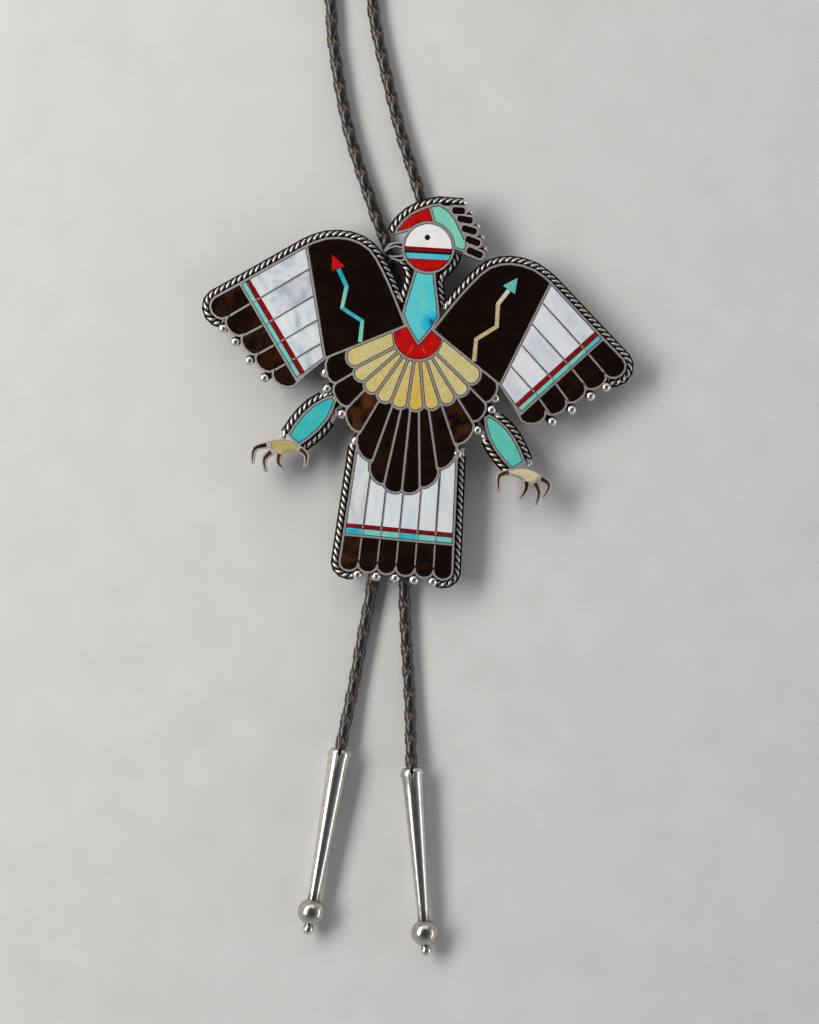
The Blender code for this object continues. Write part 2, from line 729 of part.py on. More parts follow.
def wing_stones(word, side):
    """The stones of one wing, and the pockets that they sit in."""
    top = wing_top(side)
    elbow = wing_point(*ELBOW, side)
    bar, lap = wing_bar_end(), LAP / WING_WIDTH
    coral = WING_CORAL / WING_WIDTH
    panel = stone(f"wing_panel_{word}", top + [elbow], "dark_shell")
    arrow = arrow_outline(word, side)
    boolean(panel, "DIFFERENCE", [solid(f"arrow room {word}", arrow, STONE_Z - CHANNEL_DEPTH / 2, TOP_Z + WALL)])
    solid(
        f"wing_arrow_{word}",
        grown(arrow, -STONE_GAP),
        STONE_Z - CHANNEL_DEPTH / 2 + STONE_GAP,
        STONE_Z,
        "coral" if side < 0 else "gold_pearl",
    )
    crease = wing_point(*CREASE, side)
    strips = wing_strips(word, side, CREASE[0] - 0.1, bar + 0.1)
    joint = [wing_point(lap, 1, side), wing_point(lap, 0, side)]
    field(f"wing_pearls_{word}", [crease, *joint, elbow], strips, "pearl")
    for name, start, end in (("coral", -lap, coral + lap), ("turquoise", coral - lap, bar)):
        bars = [wing_point(start, 1, side), wing_point(end, 1, side), wing_point(end, 0, side),
                wing_point(start, 0, side)]
        field(f"wing_{name}_{word}", bars, wing_strips(word, side, -0.1, bar + 0.1), name)
    tips = [wing_point(bar, 1, side)] + wing_tips(side)
    field(f"wing_tips_{word}", tips, wing_tip_strips(word, side), "dark_shell")
    banded = [crease, wing_point(0, 1, side), wing_point(bar, 1, side), wing_point(bar, 0, side),
              wing_point(0, 0, side), elbow]
    return [
        pocket(f"panel pocket {word}", top + [elbow]),
        pocket(f"band pocket {word}", banded),
        pocket(f"tips pocket {word}", tips),
    ]


def tail_strips(start, end):
    """The cells of the strips across a tail field. They reach past its ends and its sides."""
    strips = []
    for number in range(TAIL_STRIPS):
        left, right = number / TAIL_STRIPS * 2 - 1, (number + 1) / TAIL_STRIPS * 2 - 1
        left -= 0.1 if number == 0 else 0
        right += 0.1 if number == TAIL_STRIPS - 1 else 0
        strips.append(
            [
                tail_point(start, left * tail_half(start)),
                tail_point(end, left * tail_half(end)),
                tail_point(end, right * tail_half(end)),
                tail_point(start, right * tail_half(start)),
            ]
        )
    return strips


def tail_stones():
    top, bar = TAIL_NOTCH * TAIL_PEARL, TAIL_NOTCH * TAIL_BAR
    second = bar + TAIL_CORAL
    last = second + TAIL_TURQUOISE
    strips = (top - 4 * WALL, TAIL_NOTCH + 10 * WALL)
    field("tail_pearls", tail_row(top) + tail_row(bar + LAP)[::-1], tail_strips(*strips), "pearl")
    boolean(bpy.data.objects["tail_pearls"], "DIFFERENCE", [body_cutter("tail stone cutter", -INSET_STONE)])
    field("tail_coral", tail_row(bar - LAP) + tail_row(second + LAP)[::-1], tail_strips(*strips), "coral")
    field("tail_turquoise", tail_row(second - LAP) + tail_row(last)[::-1], tail_strips(*strips), "turquoise")
    tips = tail_row(last)[::-1] + tail_tips()
    field("tail_tips", tips, tail_strips(*strips), "dark_shell")
    room = pocket("tail pocket", tail_row(top) + tail_row(last)[::-1])
    boolean(room, "DIFFERENCE", [body_cutter("tail pocket cutter", -INSET_POCKET)])
    return [room, pocket("tail tips pocket", tips)]


def body_cutter(name, amount):
    """The room that the body's dark feathers leave to what lies round them."""
    return solid(name, grown(body_fan(), amount), PLATE_Z, TOP_Z + SHEET)


def yellow_cutter(name, amount):
    return solid(name, grown(yellow_fan(), amount), PLATE_Z, TOP_Z + SHEET)


def body_stones():
    pockets = []
    for index in range(YELLOW_COUNT):
        stone(f"yellow_feather_{index + 1:02}", yellow_cell(index), "gold_pearl")
        pockets.append(pocket(f"yellow pocket {index}", yellow_cell(index)))
    for index in range(len(DARK_WALLS) + 1):
        feather = stone(f"dark_feather_{index + 1:02}", dark_cell(index), "dark_shell")
        boolean(feather, "DIFFERENCE", [yellow_cutter(f"yellow cutter {index}", -INSET_STONE)])
        room = pocket(f"dark pocket {index}", dark_cell(index))
        boolean(room, "DIFFERENCE", [yellow_cutter(f"yellow pocket cutter {index}", -INSET_POCKET)])
        pockets.append(room)
    stone("collar_stone", collar_outline(), "coral")
    return pockets + [pocket("collar pocket", collar_outline())]


def head_stones():
    shapes = {
        "neck_stone": (neck_outline(), "turquoise"),
        "face_disc": (face_arc(0, 345, FACE_RADIUS, 23), "pearl"),
        "crest_coral": (crest_outline(CREST_CORAL_EDGE), "coral"),
        "crest_turquoise": (crest_outline(CREST_TURQUOISE_EDGE), "turquoise"),
    }
    for number, feather in enumerate(CREST_FEATHERS, 1):
        shapes[f"crest_feather_{number}"] = (crest_feather(*feather), "dark_shell")
    for name in LEGS:
        shapes[f"leg_stone_{name}"] = (leg_outline(name), "turquoise")
        shapes[f"foot_stone_{name}"] = ([foot_point(name, *place) for place in FOOT_EDGE], "gold_pearl")
    pockets = []
    for name, (outline, look) in shapes.items():
        stone(name, outline, look)
        pockets.append(pocket(f"{name} pocket", outline))
    return pockets


def silver_blocks():
    """The raised blocks of silver whose pockets hold the stones."""
    outlines = {
        "left wing": wing_outline(-1),
        "right wing": wing_outline(1),
        "tail": tail_row(TAIL_NOTCH * TAIL_START)[::-1] + tail_tips(),
        "neck": neck_outline(),
        "face": face_arc(0, 345, FACE_RADIUS, 23),
        "coral crest": crest_outline(CREST_CORAL_EDGE),
        "turquoise crest": crest_outline(CREST_TURQUOISE_EDGE),
        "upper beak": [head_point(*place, FACE_RADIUS) for place in BEAK_UPPER],
        "lower beak": [head_point(*place, FACE_RADIUS) for place in BEAK_LOWER],
    }
    for number, feather in enumerate(CREST_FEATHERS, 1):
        outlines[f"crest feather block {number}"] = crest_feather(*feather)
    for name in LEGS:
        outlines[f"{name} leg"] = leg_outline(name)
        outlines[f"{name} foot"] = [foot_point(name, *place) for place in FOOT_EDGE]
        for number, claw in enumerate(CLAWS[name], 1):
            outlines[f"{name} claw {number}"] = claw_outline(name, *claw)
    blocks = []
    for name, outline in outlines.items():
        bare = "beak" in name or "claw" in name
        blocks.append(solid(name, outline if bare else grown(outline, WALL / 2), PLATE_Z, TOP_Z))
    return blocks


def wire_routes():
    """The middles of the twisted wires of the border."""
    routes = {}
    for word, side in (("left", -1), ("right", 1)):
        edge = wing_top(side)[2:] + [wing_point(0, 1, side)] + wing_tips(side)[:6]
        routes[f"{word} wing wire"] = beside(edge, side * BORDER)
        leg_side = LEGS[word][0]
        outer = [leg_point(word, along, half) for along, half in LEG_SECTIONS[1:]]
        inner = [leg_point(word, along, -half) for along, half in LEG_SECTIONS[2:]]
        routes[f"{word} outer leg wire"] = beside(outer, leg_side * BORDER)
        routes[f"{word} inner leg wire"] = beside(inner, -leg_side * BORDER)
    ends = tail_tips()
    top = tail_row(TAIL_NOTCH * (TAIL_START + 0.07))
    routes["left tail wire"] = beside([top[0]] + ends[:5], -BORDER)
    routes["right tail wire"] = beside([top[1]] + ends[:-6:-1], BORDER)
    crest = crest_edge(CREST_CORAL_EDGE[::-1] + CREST_TURQUOISE_EDGE[-2:-3:-1])
    crest.append(crest_feather(*CREST_FEATHERS[0])[-1])
    routes["crest wire"] = beside(crest, BORDER)
    chin_left = face_arc(212, 240, FACE_RADIUS, 2) + [neck_point(down, -share) for down, share in NECK_SECTIONS[:3]]
    chin_right = face_arc(360, 304, FACE_RADIUS, 4) + [neck_point(down, share) for down, share in NECK_SECTIONS[:3]]
    routes["left chin wire"] = beside(chin_left, -BORDER)
    routes["right chin wire"] = beside(chin_right, BORDER)
    return routes


def drop_places():
    """Each large drop's middle, with the place inside the bird that its tongue of plate starts from."""
    places = []
    for side in (-1, 1):
        for (along, across), (start, start_across, _) in zip(WING_DROPS, WING_NOTCHES[1:]):
            places.append((wing_point(start - 0.05, start_across, side), wing_point(along, across, side)))
        reach = abs((dark_end(0) - fan_point(0, 0)).length)
        turn = side * SIDE_DROP_TURN
        places.append((fan_point(turn, reach * 0.9), fan_point(turn, reach + DROP_REACH)))
    for turn, share in DARK_WALLS[:3] + DARK_WALLS[-3:]:
        notch = share * DARK_NOTCH
        places.append((fan_point(turn, notch * 0.9), fan_point(turn, notch + DROP_REACH)))
    for wall in range(1, TAIL_STRIPS):
        across = TAIL_WIDTH * (wall / TAIL_STRIPS - 0.5)
        places.append((tail_point(TAIL_NOTCH * 0.97, across), tail_point(TAIL_NOTCH + DROP_REACH, across)))
    return places


def border():
    """Twisted wires on strips of plate, and drops on tongues of plate."""
    pieces = []
    for name, route in wire_routes().items():
        pieces.append(wire(name, route, WIRE, FLOOR_Z + WIRE * 0.3))
        pieces.append(solid(f"{name} strip", band(route, WIRE + 2 * WIRE_GAP + WALL), PLATE_Z, FLOOR_Z))
    for number, (start, place) in enumerate(drop_places()):
        pieces.append(drop(f"drop {number}", place, DROP, FLOOR_Z + DROP * DROP_SUNK))
        pieces.append(solid(f"tongue {number}", band([start, place], DROP * 0.8), PLATE_Z, FLOOR_Z))
    for number, (place, feather) in enumerate(zip(CREST_DROPS, CREST_FEATHERS[1:])):
        middle = head_point(*place, CREST_REACH)
        inside = head_point(*feather[:2], CREST_REACH)
        pieces.append(drop(f"small drop {number}", middle, SMALL_DROP, FLOOR_Z + SMALL_DROP * 0.3))
        pieces.append(solid(f"small tongue {number}", band([inside, middle], SMALL_DROP), PLATE_Z, FLOOR_Z))
    for name, (side, hip_turn, hip_reach, _) in LEGS.items():
        inside = fan_point(side * hip_turn, hip_reach * DARK_NOTCH * 0.85)
        strip = band([inside, leg_point(name, 0.5, 0)], LEG_LENGTH * LEG_SECTIONS[0][1] * 6)
        pieces.append(solid(f"{name} leg strip", strip, PLATE_Z, FLOOR_Z))
    return pieces


def bird_setting(pockets):
    """All the soldered silver of the bird in one solid."""
    body = solid("bird_setting", grown(body_fan(), WALL / 2), PLATE_Z, TOP_Z, "silver")
    # So many blocks end at one height that the exact solver leaves open edges here.
    boolean(body, "UNION", silver_blocks() + border(), "MANIFOLD")
    boolean(body, "DIFFERENCE", pockets, "MANIFOLD")
    tidy = body.modifiers.new("Flat faces", "DECIMATE")
    tidy.decimate_type = "DISSOLVE"
    tidy.angle_limit = math.radians(0.3)


def slide_clip():
    """A plain sleeve with a channel for each run of cord and an empty one between them."""
    width = CORD_PITCH + CHANNEL + 2 * CLIP_WALL
    mesh = bpy.data.meshes.new("slide_clip")
    shape = bmesh.new()
    bmesh.ops.create_cube(shape, size=1)
    bmesh.ops.scale(shape, vec=(width, CLIP_LENGTH, CLIP_HEIGHT), verts=shape.verts)
    upper = [edge for edge in shape.edges if all(v.co.z > 0 and abs(v.co.x) > 0 for v in edge.verts)]
    long_edges = [edge for edge in upper if abs(edge.verts[0].co.y - edge.verts[1].co.y) > CLIP_LENGTH / 2]
    bmesh.ops.bevel(shape, geom=long_edges, offset=CLIP_EDGE, segments=3, profile=0.5, affect="EDGES")
    shape.to_mesh(mesh)
    shape.free()
    body = new_object("slide_clip", mesh, new_material("slide_clip", "silver"))
    body.location = (0, 0, CLIP_HEIGHT / 2)
    middle_room = CORD_PITCH - CHANNEL - 2 * CLIP_WALL
    rooms = []
    for name, x, room in (("left", -CORD_PITCH / 2, CHANNEL), ("right", CORD_PITCH / 2, CHANNEL),
                          ("middle", 0, middle_room)):
        ends = [Vector((x, -CLIP_LENGTH)), Vector((x, CLIP_LENGTH))]
        rooms.append(solid(f"{name} channel", band(ends, room), CLIP_WALL, CLIP_HEIGHT - CLIP_WALL))
    boolean(body, "DIFFERENCE", rooms)


def tip_profile():
    """The tip's outline for turning: distance from the axis, and height from the ball's middle."""
    ball, bead = TIP_BALL / 2, TIP_BEAD / 2
    bead_middle = -ball - bead * 0.75
    profile = []
    for step in range(7):
        angle = math.radians(-90 + 130 * step / 6)
        profile.append((bead * math.cos(angle), bead_middle + bead * math.sin(angle)))
    low = -math.acos(profile[-1][0] / ball)
    high = math.acos(TIP_WAIST / 2 / ball)
    for step in range(9):
        angle = low + (high - low) * step / 8
        profile.append((ball * math.cos(angle), ball * math.sin(angle)))
    socket = CORD_WIDTH / 2 + SEAM
    mouth = TIP_MOUTH / 2
    profile += [
        (mouth - TIP_WALL / 2, TIP_LENGTH - TIP_PETAL),
        (mouth, TIP_LENGTH - TIP_PETAL * 0.6),
        (mouth - TIP_WALL / 3, TIP_LENGTH),
        (mouth - TIP_WALL, TIP_LENGTH),
        (socket, TIP_LENGTH - TIP_FUNNEL),
        (socket, TIP_LENGTH - TIP_SOCKET),
        (TIP_WAIST / 2 - TIP_WALL, TIP_LENGTH - TIP_HOLLOW),
        (0, TIP_LENGTH - TIP_HOLLOW),
    ]
    profile[0] = (0, profile[0][1])
    return profile


def tip(word):
    """A hollow cone that ends in a ball and a bead, turned about its axis, with petals round its mouth."""
    name = f"tip_{word}"
    mesh = bpy.data.meshes.new(name)
    shape = bmesh.new()
    profile = [shape.verts.new((radius, 0, height)) for radius, height in tip_profile()]
    edges = [shape.edges.new(ends) for ends in zip(profile, profile[1:])]
    bmesh.ops.spin(shape, geom=profile + edges, axis=(0, 0, 1), cent=(0, 0, 0), steps=TIP_SIDES, angle=2 * math.pi,
                   use_merge=True)
    bmesh.ops.remove_doubles(shape, verts=shape.verts, dist=0.00001)
    for vert in shape.verts:
        if vert.co.z > TIP_LENGTH - 0.0001:
            around = math.atan2(vert.co.y, vert.co.x) * TIP_PETALS / 2
            vert.co.z -= TIP_PETAL * (1 - abs(math.sin(around))) * 0.8
    bmesh.ops.recalc_face_normals(shape, faces=shape.faces)
    shape.to_mesh(mesh)
    shape.free()
    mesh.shade_smooth()
    mesh.set_sharp_from_angle(angle=math.radians(40))
    body = new_object(name, mesh, new_material(name, "silver"))
    (x, y), turn = TIPS[word]
    angle = math.radians(turn)
    rise = (TIP_MOUTH - TIP_BALL) / 2 / TIP_LENGTH
    axis = Vector((-math.sin(angle), math.cos(angle), rise)).normalized()
    body.rotation_euler = axis.to_track_quat("Z", "Y").to_euler()
    body.location = (x, y, TIP_BALL / 2)


def cord():
    """The braided cord as a plain tube of its own thickness."""
    route = [Vector(point) for point in CORD_ROUTE]
    steps = [math.ceil((two - one).length / CORD_STEP) for one, two in zip(route, route[1:])]
    points = smooth(route, steps)
    curve = bpy.data.curves.new("cord", "CURVE")
    curve.dimensions = "3D"
    curve.bevel_depth = CORD_WIDTH / 2
    curve.bevel_resolution = 3
    curve.use_fill_caps = True
    curve.resolution_u = 1
    curve.render_resolution_u = 0
    line = curve.splines.new("POLY")
    line.points.add(len(points) - 1)
    for place, point in zip(line.points, points):
        place.co = (*point, 1)
    new_object("cord", curve, new_material("cord", "leather"))


def main():
    for old in list(bpy.data.objects):
        bpy.data.objects.remove(old)
    pockets = wing_stones("left", -1) + wing_stones("right", 1) + tail_stones() + body_stones() + head_stones()
    bird_setting(pockets)
    slide_clip()
    tip("left")
    tip("right")
    cord()


main()
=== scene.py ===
# %% [markdown]
# # A bolo tie in silver, stone and shell
# This lesson dresses a finished frame of solids. The frame already has every piece at its real size: the
# silver bird, its stones, the clip behind it, the cord and the two tips. What it lacks is what light
# shows: the braid of the cord, the twist of the border wire, the grain of shell, the veins of turquoise
# and the wear on silver.
#
# Everything is in metres. +Z points out of the stones' face and +Y to the bird's crown.

# %% Load the frame
import math
import random

import bmesh
import bpy
import numpy as np
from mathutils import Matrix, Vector


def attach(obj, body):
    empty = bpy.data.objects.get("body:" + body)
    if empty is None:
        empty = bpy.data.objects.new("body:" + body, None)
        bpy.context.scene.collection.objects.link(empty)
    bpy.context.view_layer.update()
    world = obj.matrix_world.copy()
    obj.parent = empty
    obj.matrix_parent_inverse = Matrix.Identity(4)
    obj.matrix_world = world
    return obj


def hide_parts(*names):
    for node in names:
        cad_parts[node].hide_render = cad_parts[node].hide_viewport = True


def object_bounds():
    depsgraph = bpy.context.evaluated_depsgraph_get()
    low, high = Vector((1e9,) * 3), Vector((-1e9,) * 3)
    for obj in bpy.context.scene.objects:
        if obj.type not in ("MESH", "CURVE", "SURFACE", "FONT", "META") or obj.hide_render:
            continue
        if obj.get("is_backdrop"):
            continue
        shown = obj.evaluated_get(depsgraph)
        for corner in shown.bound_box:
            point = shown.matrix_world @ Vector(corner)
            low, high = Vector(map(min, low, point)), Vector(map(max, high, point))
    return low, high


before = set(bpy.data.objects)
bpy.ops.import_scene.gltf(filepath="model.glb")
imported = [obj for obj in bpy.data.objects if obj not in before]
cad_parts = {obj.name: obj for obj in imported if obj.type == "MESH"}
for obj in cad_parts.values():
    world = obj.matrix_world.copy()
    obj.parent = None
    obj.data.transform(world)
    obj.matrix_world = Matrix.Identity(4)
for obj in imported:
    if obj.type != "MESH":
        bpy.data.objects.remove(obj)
cad_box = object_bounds()
print("frame nodes:", len(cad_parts))

# %% [markdown]
# ## The camera
# The photograph looks straight down, with the bird turned by a few degrees in the picture. A camera that
# looks down needs no tilt: only its turn about Z. Its lens follows from how much of the table the
# picture takes in.

# %% Camera
WALL_TOP = 0.01025  # the top of the silver walls
VIEW_CENTRE = (0.00547, -0.03315)
VIEW_TURN = 8.65
VIEW_DISTANCE = 0.9
METRES_PER_PIXEL = 0.0003
VIEW_HEIGHT = 1024 * METRES_PER_PIXEL
SENSOR = 36  # mm

camera_data = bpy.data.cameras.new("camera")
camera_data.sensor_fit = "VERTICAL"
camera_data.sensor_height = SENSOR
camera_data.lens = SENSOR * VIEW_DISTANCE / VIEW_HEIGHT
camera = bpy.data.objects.new("camera", camera_data)
bpy.context.scene.collection.objects.link(camera)
camera.location = (*VIEW_CENTRE, WALL_TOP + VIEW_DISTANCE)
camera.rotation_euler = (0, 0, math.radians(VIEW_TURN))
bpy.context.scene.camera = camera
print("lens in mm:", round(camera_data.lens, 1))

# %% [markdown]
# ## Materials: a small kit
# Each material is a Principled BSDF. One helper makes the shader with its plain numbers, and a few more
# add the nodes that most of the pieces share: noise in the object's own space, a ramp that turns a
# number into a colour, and a bump. The pieces keep the frame's place in their meshes, so object space is
# the real place in metres and one scale serves them all.

# %% Helpers for materials
STONES_APART = 40.0  # how far apart in the fourth dimension two stones' noises lie


def new_material(name, colour, roughness, metallic=0.0, **sockets):
    """A material with its Principled shader."""
    material = bpy.data.materials.new(name)
    material.use_nodes = True
    shader = material.node_tree.nodes["Principled BSDF"]
    shader.inputs["Base Color"].default_value = (*colour, 1)
    shader.inputs["Roughness"].default_value = roughness
    shader.inputs["Metallic"].default_value = metallic
    for socket, value in sockets.items():
        shader.inputs[socket.replace("_", " ")].default_value = value
    return material


def add_node(material, kind, inputs=None, **settings):
    """A node with its settings, and its inputs set to numbers or linked to other nodes' outputs."""
    node = material.node_tree.nodes.new(kind)
    for name, value in settings.items():
        setattr(node, name, value)
    for name, value in (inputs or {}).items():
        if isinstance(value, bpy.types.NodeSocket):
            material.node_tree.links.new(value, node.inputs[name])
        else:
            node.inputs[name].default_value = value
    return node


def calculated(material, operation, one, two):
    """The result of a Math node."""
    return add_node(material, "ShaderNodeMath", {0: one, 1: two}, operation=operation).outputs["Value"]


def remapped(material, value, start, end, to_start=0.0, to_end=1.0):
    """A number moved from one range to another and held inside it."""
    ranges = {"Value": value, "From Min": start, "From Max": end, "To Min": to_start, "To Max": to_end}
    return add_node(material, "ShaderNodeMapRange", ranges).outputs["Result"]


def wire_up(material, source, socket):
    shader = material.node_tree.nodes["Principled BSDF"]
    material.node_tree.links.new(source, shader.inputs[socket])


def ramp(material, value, stops, sharp=False):
    """Turns a number into a colour by (place, colour) stops."""
    node = add_node(material, "ShaderNodeValToRGB", {"Fac": value})
    node.color_ramp.interpolation = "CONSTANT" if sharp else "LINEAR"
    while len(node.color_ramp.elements) < len(stops):
        node.color_ramp.elements.new(0.5)
    for element, (place, colour) in zip(node.color_ramp.elements, stops):
        element.position = place
        element.color = (*colour, 1)
    return node.outputs["Color"]


def place_in(material, scale=(1, 1, 1), turn=0.0, shift=(0, 0, 0)):
    """The place in the frame, turned about Z in degrees and stretched."""
    where = add_node(material, "ShaderNodeTexCoord").outputs["Object"]
    mapping = add_node(material, "ShaderNodeMapping", {"Vector": where})
    mapping.inputs["Rotation"].default_value = (0, 0, math.radians(turn))
    mapping.inputs["Scale"].default_value = scale
    mapping.inputs["Location"].default_value = shift
    return mapping.outputs["Vector"]


def noise(material, where, scale, detail=4.0, roughness=0.55, distortion=0.0, piece=None):
    """Noise at a place. A piece number, if given, moves each stone to another part of the noise."""
    node = add_node(material, "ShaderNodeTexNoise", {"Vector": where, "Scale": scale, "Detail": detail})
    node.inputs["Roughness"].default_value = roughness
    node.inputs["Distortion"].default_value = distortion
    if piece:
        node.noise_dimensions = "4D"
        far = calculated(material, "MULTIPLY", piece, STONES_APART)
        material.node_tree.links.new(far, node.inputs["W"])
    return node.outputs["Fac"]


def bump(material, height, distance, strength=1.0):
    sockets = {"Height": height, "Distance": distance, "Strength": strength}
    wire_up(material, add_node(material, "ShaderNodeBump", sockets).outputs["Normal"], "Normal")


def speckled(material, scale, dark, light, low=0.3, high=0.7):
    """Gives a material a fine grain between two colours, and returns the grain."""
    grain = noise(material, place_in(material), scale, 3)
    wire_up(material, ramp(material, grain, [(low, dark), (high, light)]), "Base Color")
    return grain


def mixed(material, factor, one, two, blend="MIX"):
    """A mix of two colours."""
    node = add_node(material, "ShaderNodeMix", data_type="RGBA", blend_type=blend)
    for socket, value in (("Factor_Float", factor), ("A_Color", one), ("B_Color", two)):
        target = next(s for s in node.inputs if s.identifier == socket)
        if isinstance(value, bpy.types.NodeSocket):
            material.node_tree.links.new(value, target)
        else:
            target.default_value = value if socket == "Factor_Float" else (*value, 1)
    return next(s for s in node.outputs if s.identifier == "Result_Color")


def own(material, name):
    """A number that a mesh carries: a stone's tone or the lean of its grain, or a tip's tarnish and painted
    dark reflection.
    """
    return add_node(material, "ShaderNodeAttribute", attribute_name=name).outputs["Fac"]


def grain_place(material, stretch):
    """The place turned by the stone's own lean, so that the grain runs along the stone, and stretched."""
    where = add_node(material, "ShaderNodeTexCoord").outputs["Object"]
    turned = add_node(material, "ShaderNodeVectorRotate", {"Vector": where}, rotation_type="Z_AXIS")
    material.node_tree.links.new(own(material, "lean"), turned.inputs["Angle"])
    sockets = {"Vector": turned.outputs["Vector"], "Scale": stretch}
    return add_node(material, "ShaderNodeMapping", sockets).outputs["Vector"]


def toned(material, colour, amount):
    """Makes a colour lighter or darker by the stone's tone."""
    value = remapped(material, own(material, "tone"), 0.0, 1.0, 1 - amount, 1 + amount)
    return add_node(material, "ShaderNodeHueSaturation", {"Color": colour, "Value": value}).outputs["Color"]


print("material helpers ready")

# %% [markdown]
# ## The cord's route
# The cord is one piece, 90 cm long: from inside the left tip it runs up behind the bird, round the neck
# and back down to the right tip. Its route is the frame's own, a smooth curve through chosen points. The
# picture shows only the two runs near the bird, and the rest is laid in a plain loop above it.

# %% Route
CORD_WIDTH = 0.00405
CORD_ROOM = 0.0003  # round the cord, in the clip and in the tips
CLIP_WALL = 0.0009
TIP_MOUTH = 0.0072
# Heights of the cord's middle: on the surface, in the clip and in a tip's mouth
LOW = CORD_WIDTH / 2 + 0.00001
IN_CLIP = CLIP_WALL + CORD_ROOM + CORD_WIDTH / 2
IN_TIP = TIP_MOUTH / 2
CORD_ROUTE = (
    (-0.00475, -0.1182, IN_TIP + 0.00008), (-0.00447, -0.1082, IN_TIP), (-0.0040, -0.0990, 0.00285),
    (-0.0034, -0.0880, LOW), (-0.0028, -0.0690, LOW), (-0.0024, -0.0582, LOW),
    (-0.0032, -0.0400, 0.00215), (-0.0046, -0.0240, 0.0030), (-0.0048, -0.0150, IN_CLIP),
    (-0.0048, 0.0150, IN_CLIP), (-0.0066, 0.0270, 0.0027), (-0.0129, 0.0443, LOW),
    (-0.0190, 0.0556, LOW), (-0.0306, 0.0795, LOW), (-0.0388, 0.1041, LOW),
    (-0.0416, 0.1165, LOW), (-0.0480, 0.1340, LOW), (-0.0590, 0.1520, LOW),
    (-0.0635, 0.1800, LOW), (-0.0610, 0.2090, LOW), (-0.0450, 0.2310, LOW),
    (-0.0160, 0.2405, LOW), (0.0160, 0.2410, LOW), (0.0460, 0.2320, LOW),
    (0.0620, 0.2090, LOW), (0.0640, 0.1800, LOW), (0.0570, 0.1530, LOW),
    (0.0380, 0.1390, LOW), (0.0120, 0.1380, LOW), (-0.0145, 0.1425, LOW),
    (-0.0256, 0.1380, LOW), (-0.0303, 0.1280, LOW), (-0.0286, 0.1170, LOW),
    (-0.0251, 0.1062, LOW), (-0.0153, 0.0820, LOW), (-0.0058, 0.0619, LOW),
    (-0.0002, 0.0460, 0.00210), (0.0038, 0.0280, 0.0028), (0.0048, 0.0150, IN_CLIP),
    (0.0048, -0.0150, IN_CLIP), (0.0050, -0.0240, 0.0030), (0.0062, -0.0420, 0.00215),
    (0.0075, -0.0567, LOW), (0.0094, -0.0671, LOW), (0.0143, -0.0903, LOW),
    (0.01615, -0.1010, 0.00285), (0.01795, -0.1105, IN_TIP), (0.01976, -0.1182, IN_TIP + 0.00008),
)


def smooth(points, steps):
    """Points of a smooth curve through the given points."""
    points = [Vector(point) for point in points]
    curve = []
    for index in range(len(points) - 1):
        before = points[max(index - 1, 0)]
        start, end = points[index], points[index + 1]
        after = points[min(index + 2, len(points) - 1)]
        for step in range(steps):
            t = step / steps
            place = 2 * start + (end - before) * t
            place += (2 * before - 5 * start + 4 * end - after) * t**2
            place += (3 * start - before - 3 * end + after) * t**3
            curve.append(place / 2)
    return curve + [points[-1]]


cord_line = smooth(CORD_ROUTE, 8)

# %% [markdown]
# ## Leather for the cord
# The laces are black on their faces, with a soft shine where hands have polished them, and tan where
# they were cut: that thin pale line along every lace draws the braid. So the cord has two materials, one
# for the faces and one for the cut edges.

# %% Leather
lace_black = new_material("lace_black", (0.010, 0.009, 0.009), 0.34, Coat_Weight=0.4, Coat_Roughness=0.22)
grain = speckled(lace_black, 2600, (0.004, 0.0037, 0.0037), (0.016, 0.014, 0.013), 0.35)
wire_up(lace_black, remapped(lace_black, grain, 0.0, 1.0, 0.26, 0.44), "Roughness")
bump(lace_black, grain, 0.00008, 0.5)

lace_edge = new_material("lace_edge", (0.17, 0.11, 0.07), 0.75)
fibres = speckled(lace_edge, 3500, (0.07, 0.045, 0.028), (0.26, 0.18, 0.12))
bump(lace_edge, fibres, 0.00006, 0.6)
print("leather ready")

# %% [markdown]
# ## Braiding it
# A round braid of four laces is two pairs of springs: one pair winds to the right and one to the left,
# and where they meet, each goes over one and under the next. A lace's distance from the middle therefore
# rises and falls twice in each turn. A curve with a round bevel can't show flat laces with cut edges, so
# each lace is a strip of section rings, placed by its distance along the cord and its turn about it.

# %% Braid
LACE_LAY = 0.0135
LACE_WIDTH = 0.0033
LACE_THICKNESS = 0.0009
LACE_MIDDLE = 0.00117
LACE_SWING = 0.00032
LACE_OUTSIDE = LACE_MIDDLE * 1.25  # where a lace's width is measured round the cord
CORE_RADIUS = LACE_MIDDLE * 0.9
# The section of a lace: shares of its width and of its thickness
LACE_SECTION = (
    (-0.5, -0.35), (-0.5, 0.2), (-0.42, 0.42), (-0.2, 0.56), (0.2, 0.56),
    (0.42, 0.42), (0.5, 0.2), (0.5, -0.35), (0, -0.5),
)
CUT_SIDES = (0, 1, 5, 6)  # the sides of the section that are cut edges


class Line:
    """A route that knows its place, its side and its upwards direction at a distance along it."""

    def __init__(self, points):
        self.points = np.array([tuple(point) for point in points])
        steps = np.linalg.norm(np.diff(self.points, axis=0), axis=1)
        self.along = np.concatenate([[0], np.cumsum(steps)])
        self.length = self.along[-1]
        tangent = np.gradient(self.points, self.along, axis=0)
        tangent /= np.linalg.norm(tangent, axis=1, keepdims=True)
        side = np.cross(tangent, (0, 0, 1))
        self.side = side / np.linalg.norm(side, axis=1, keepdims=True)
        self.up = np.cross(self.side, tangent)

    def at(self, distance, values):
        return np.stack([np.interp(distance, self.along, values[:, axis]) for axis in range(3)], axis=-1)

    def round_it(self, distance, turn, reach):
        """Places at a turn about the route and a reach from it."""
        sideways = self.at(distance, self.side) * np.cos(turn)[..., None]
        upwards = self.at(distance, self.up) * np.sin(turn)[..., None]
        return self.at(distance, self.points) + (sideways + upwards) * np.asarray(reach)[..., None]


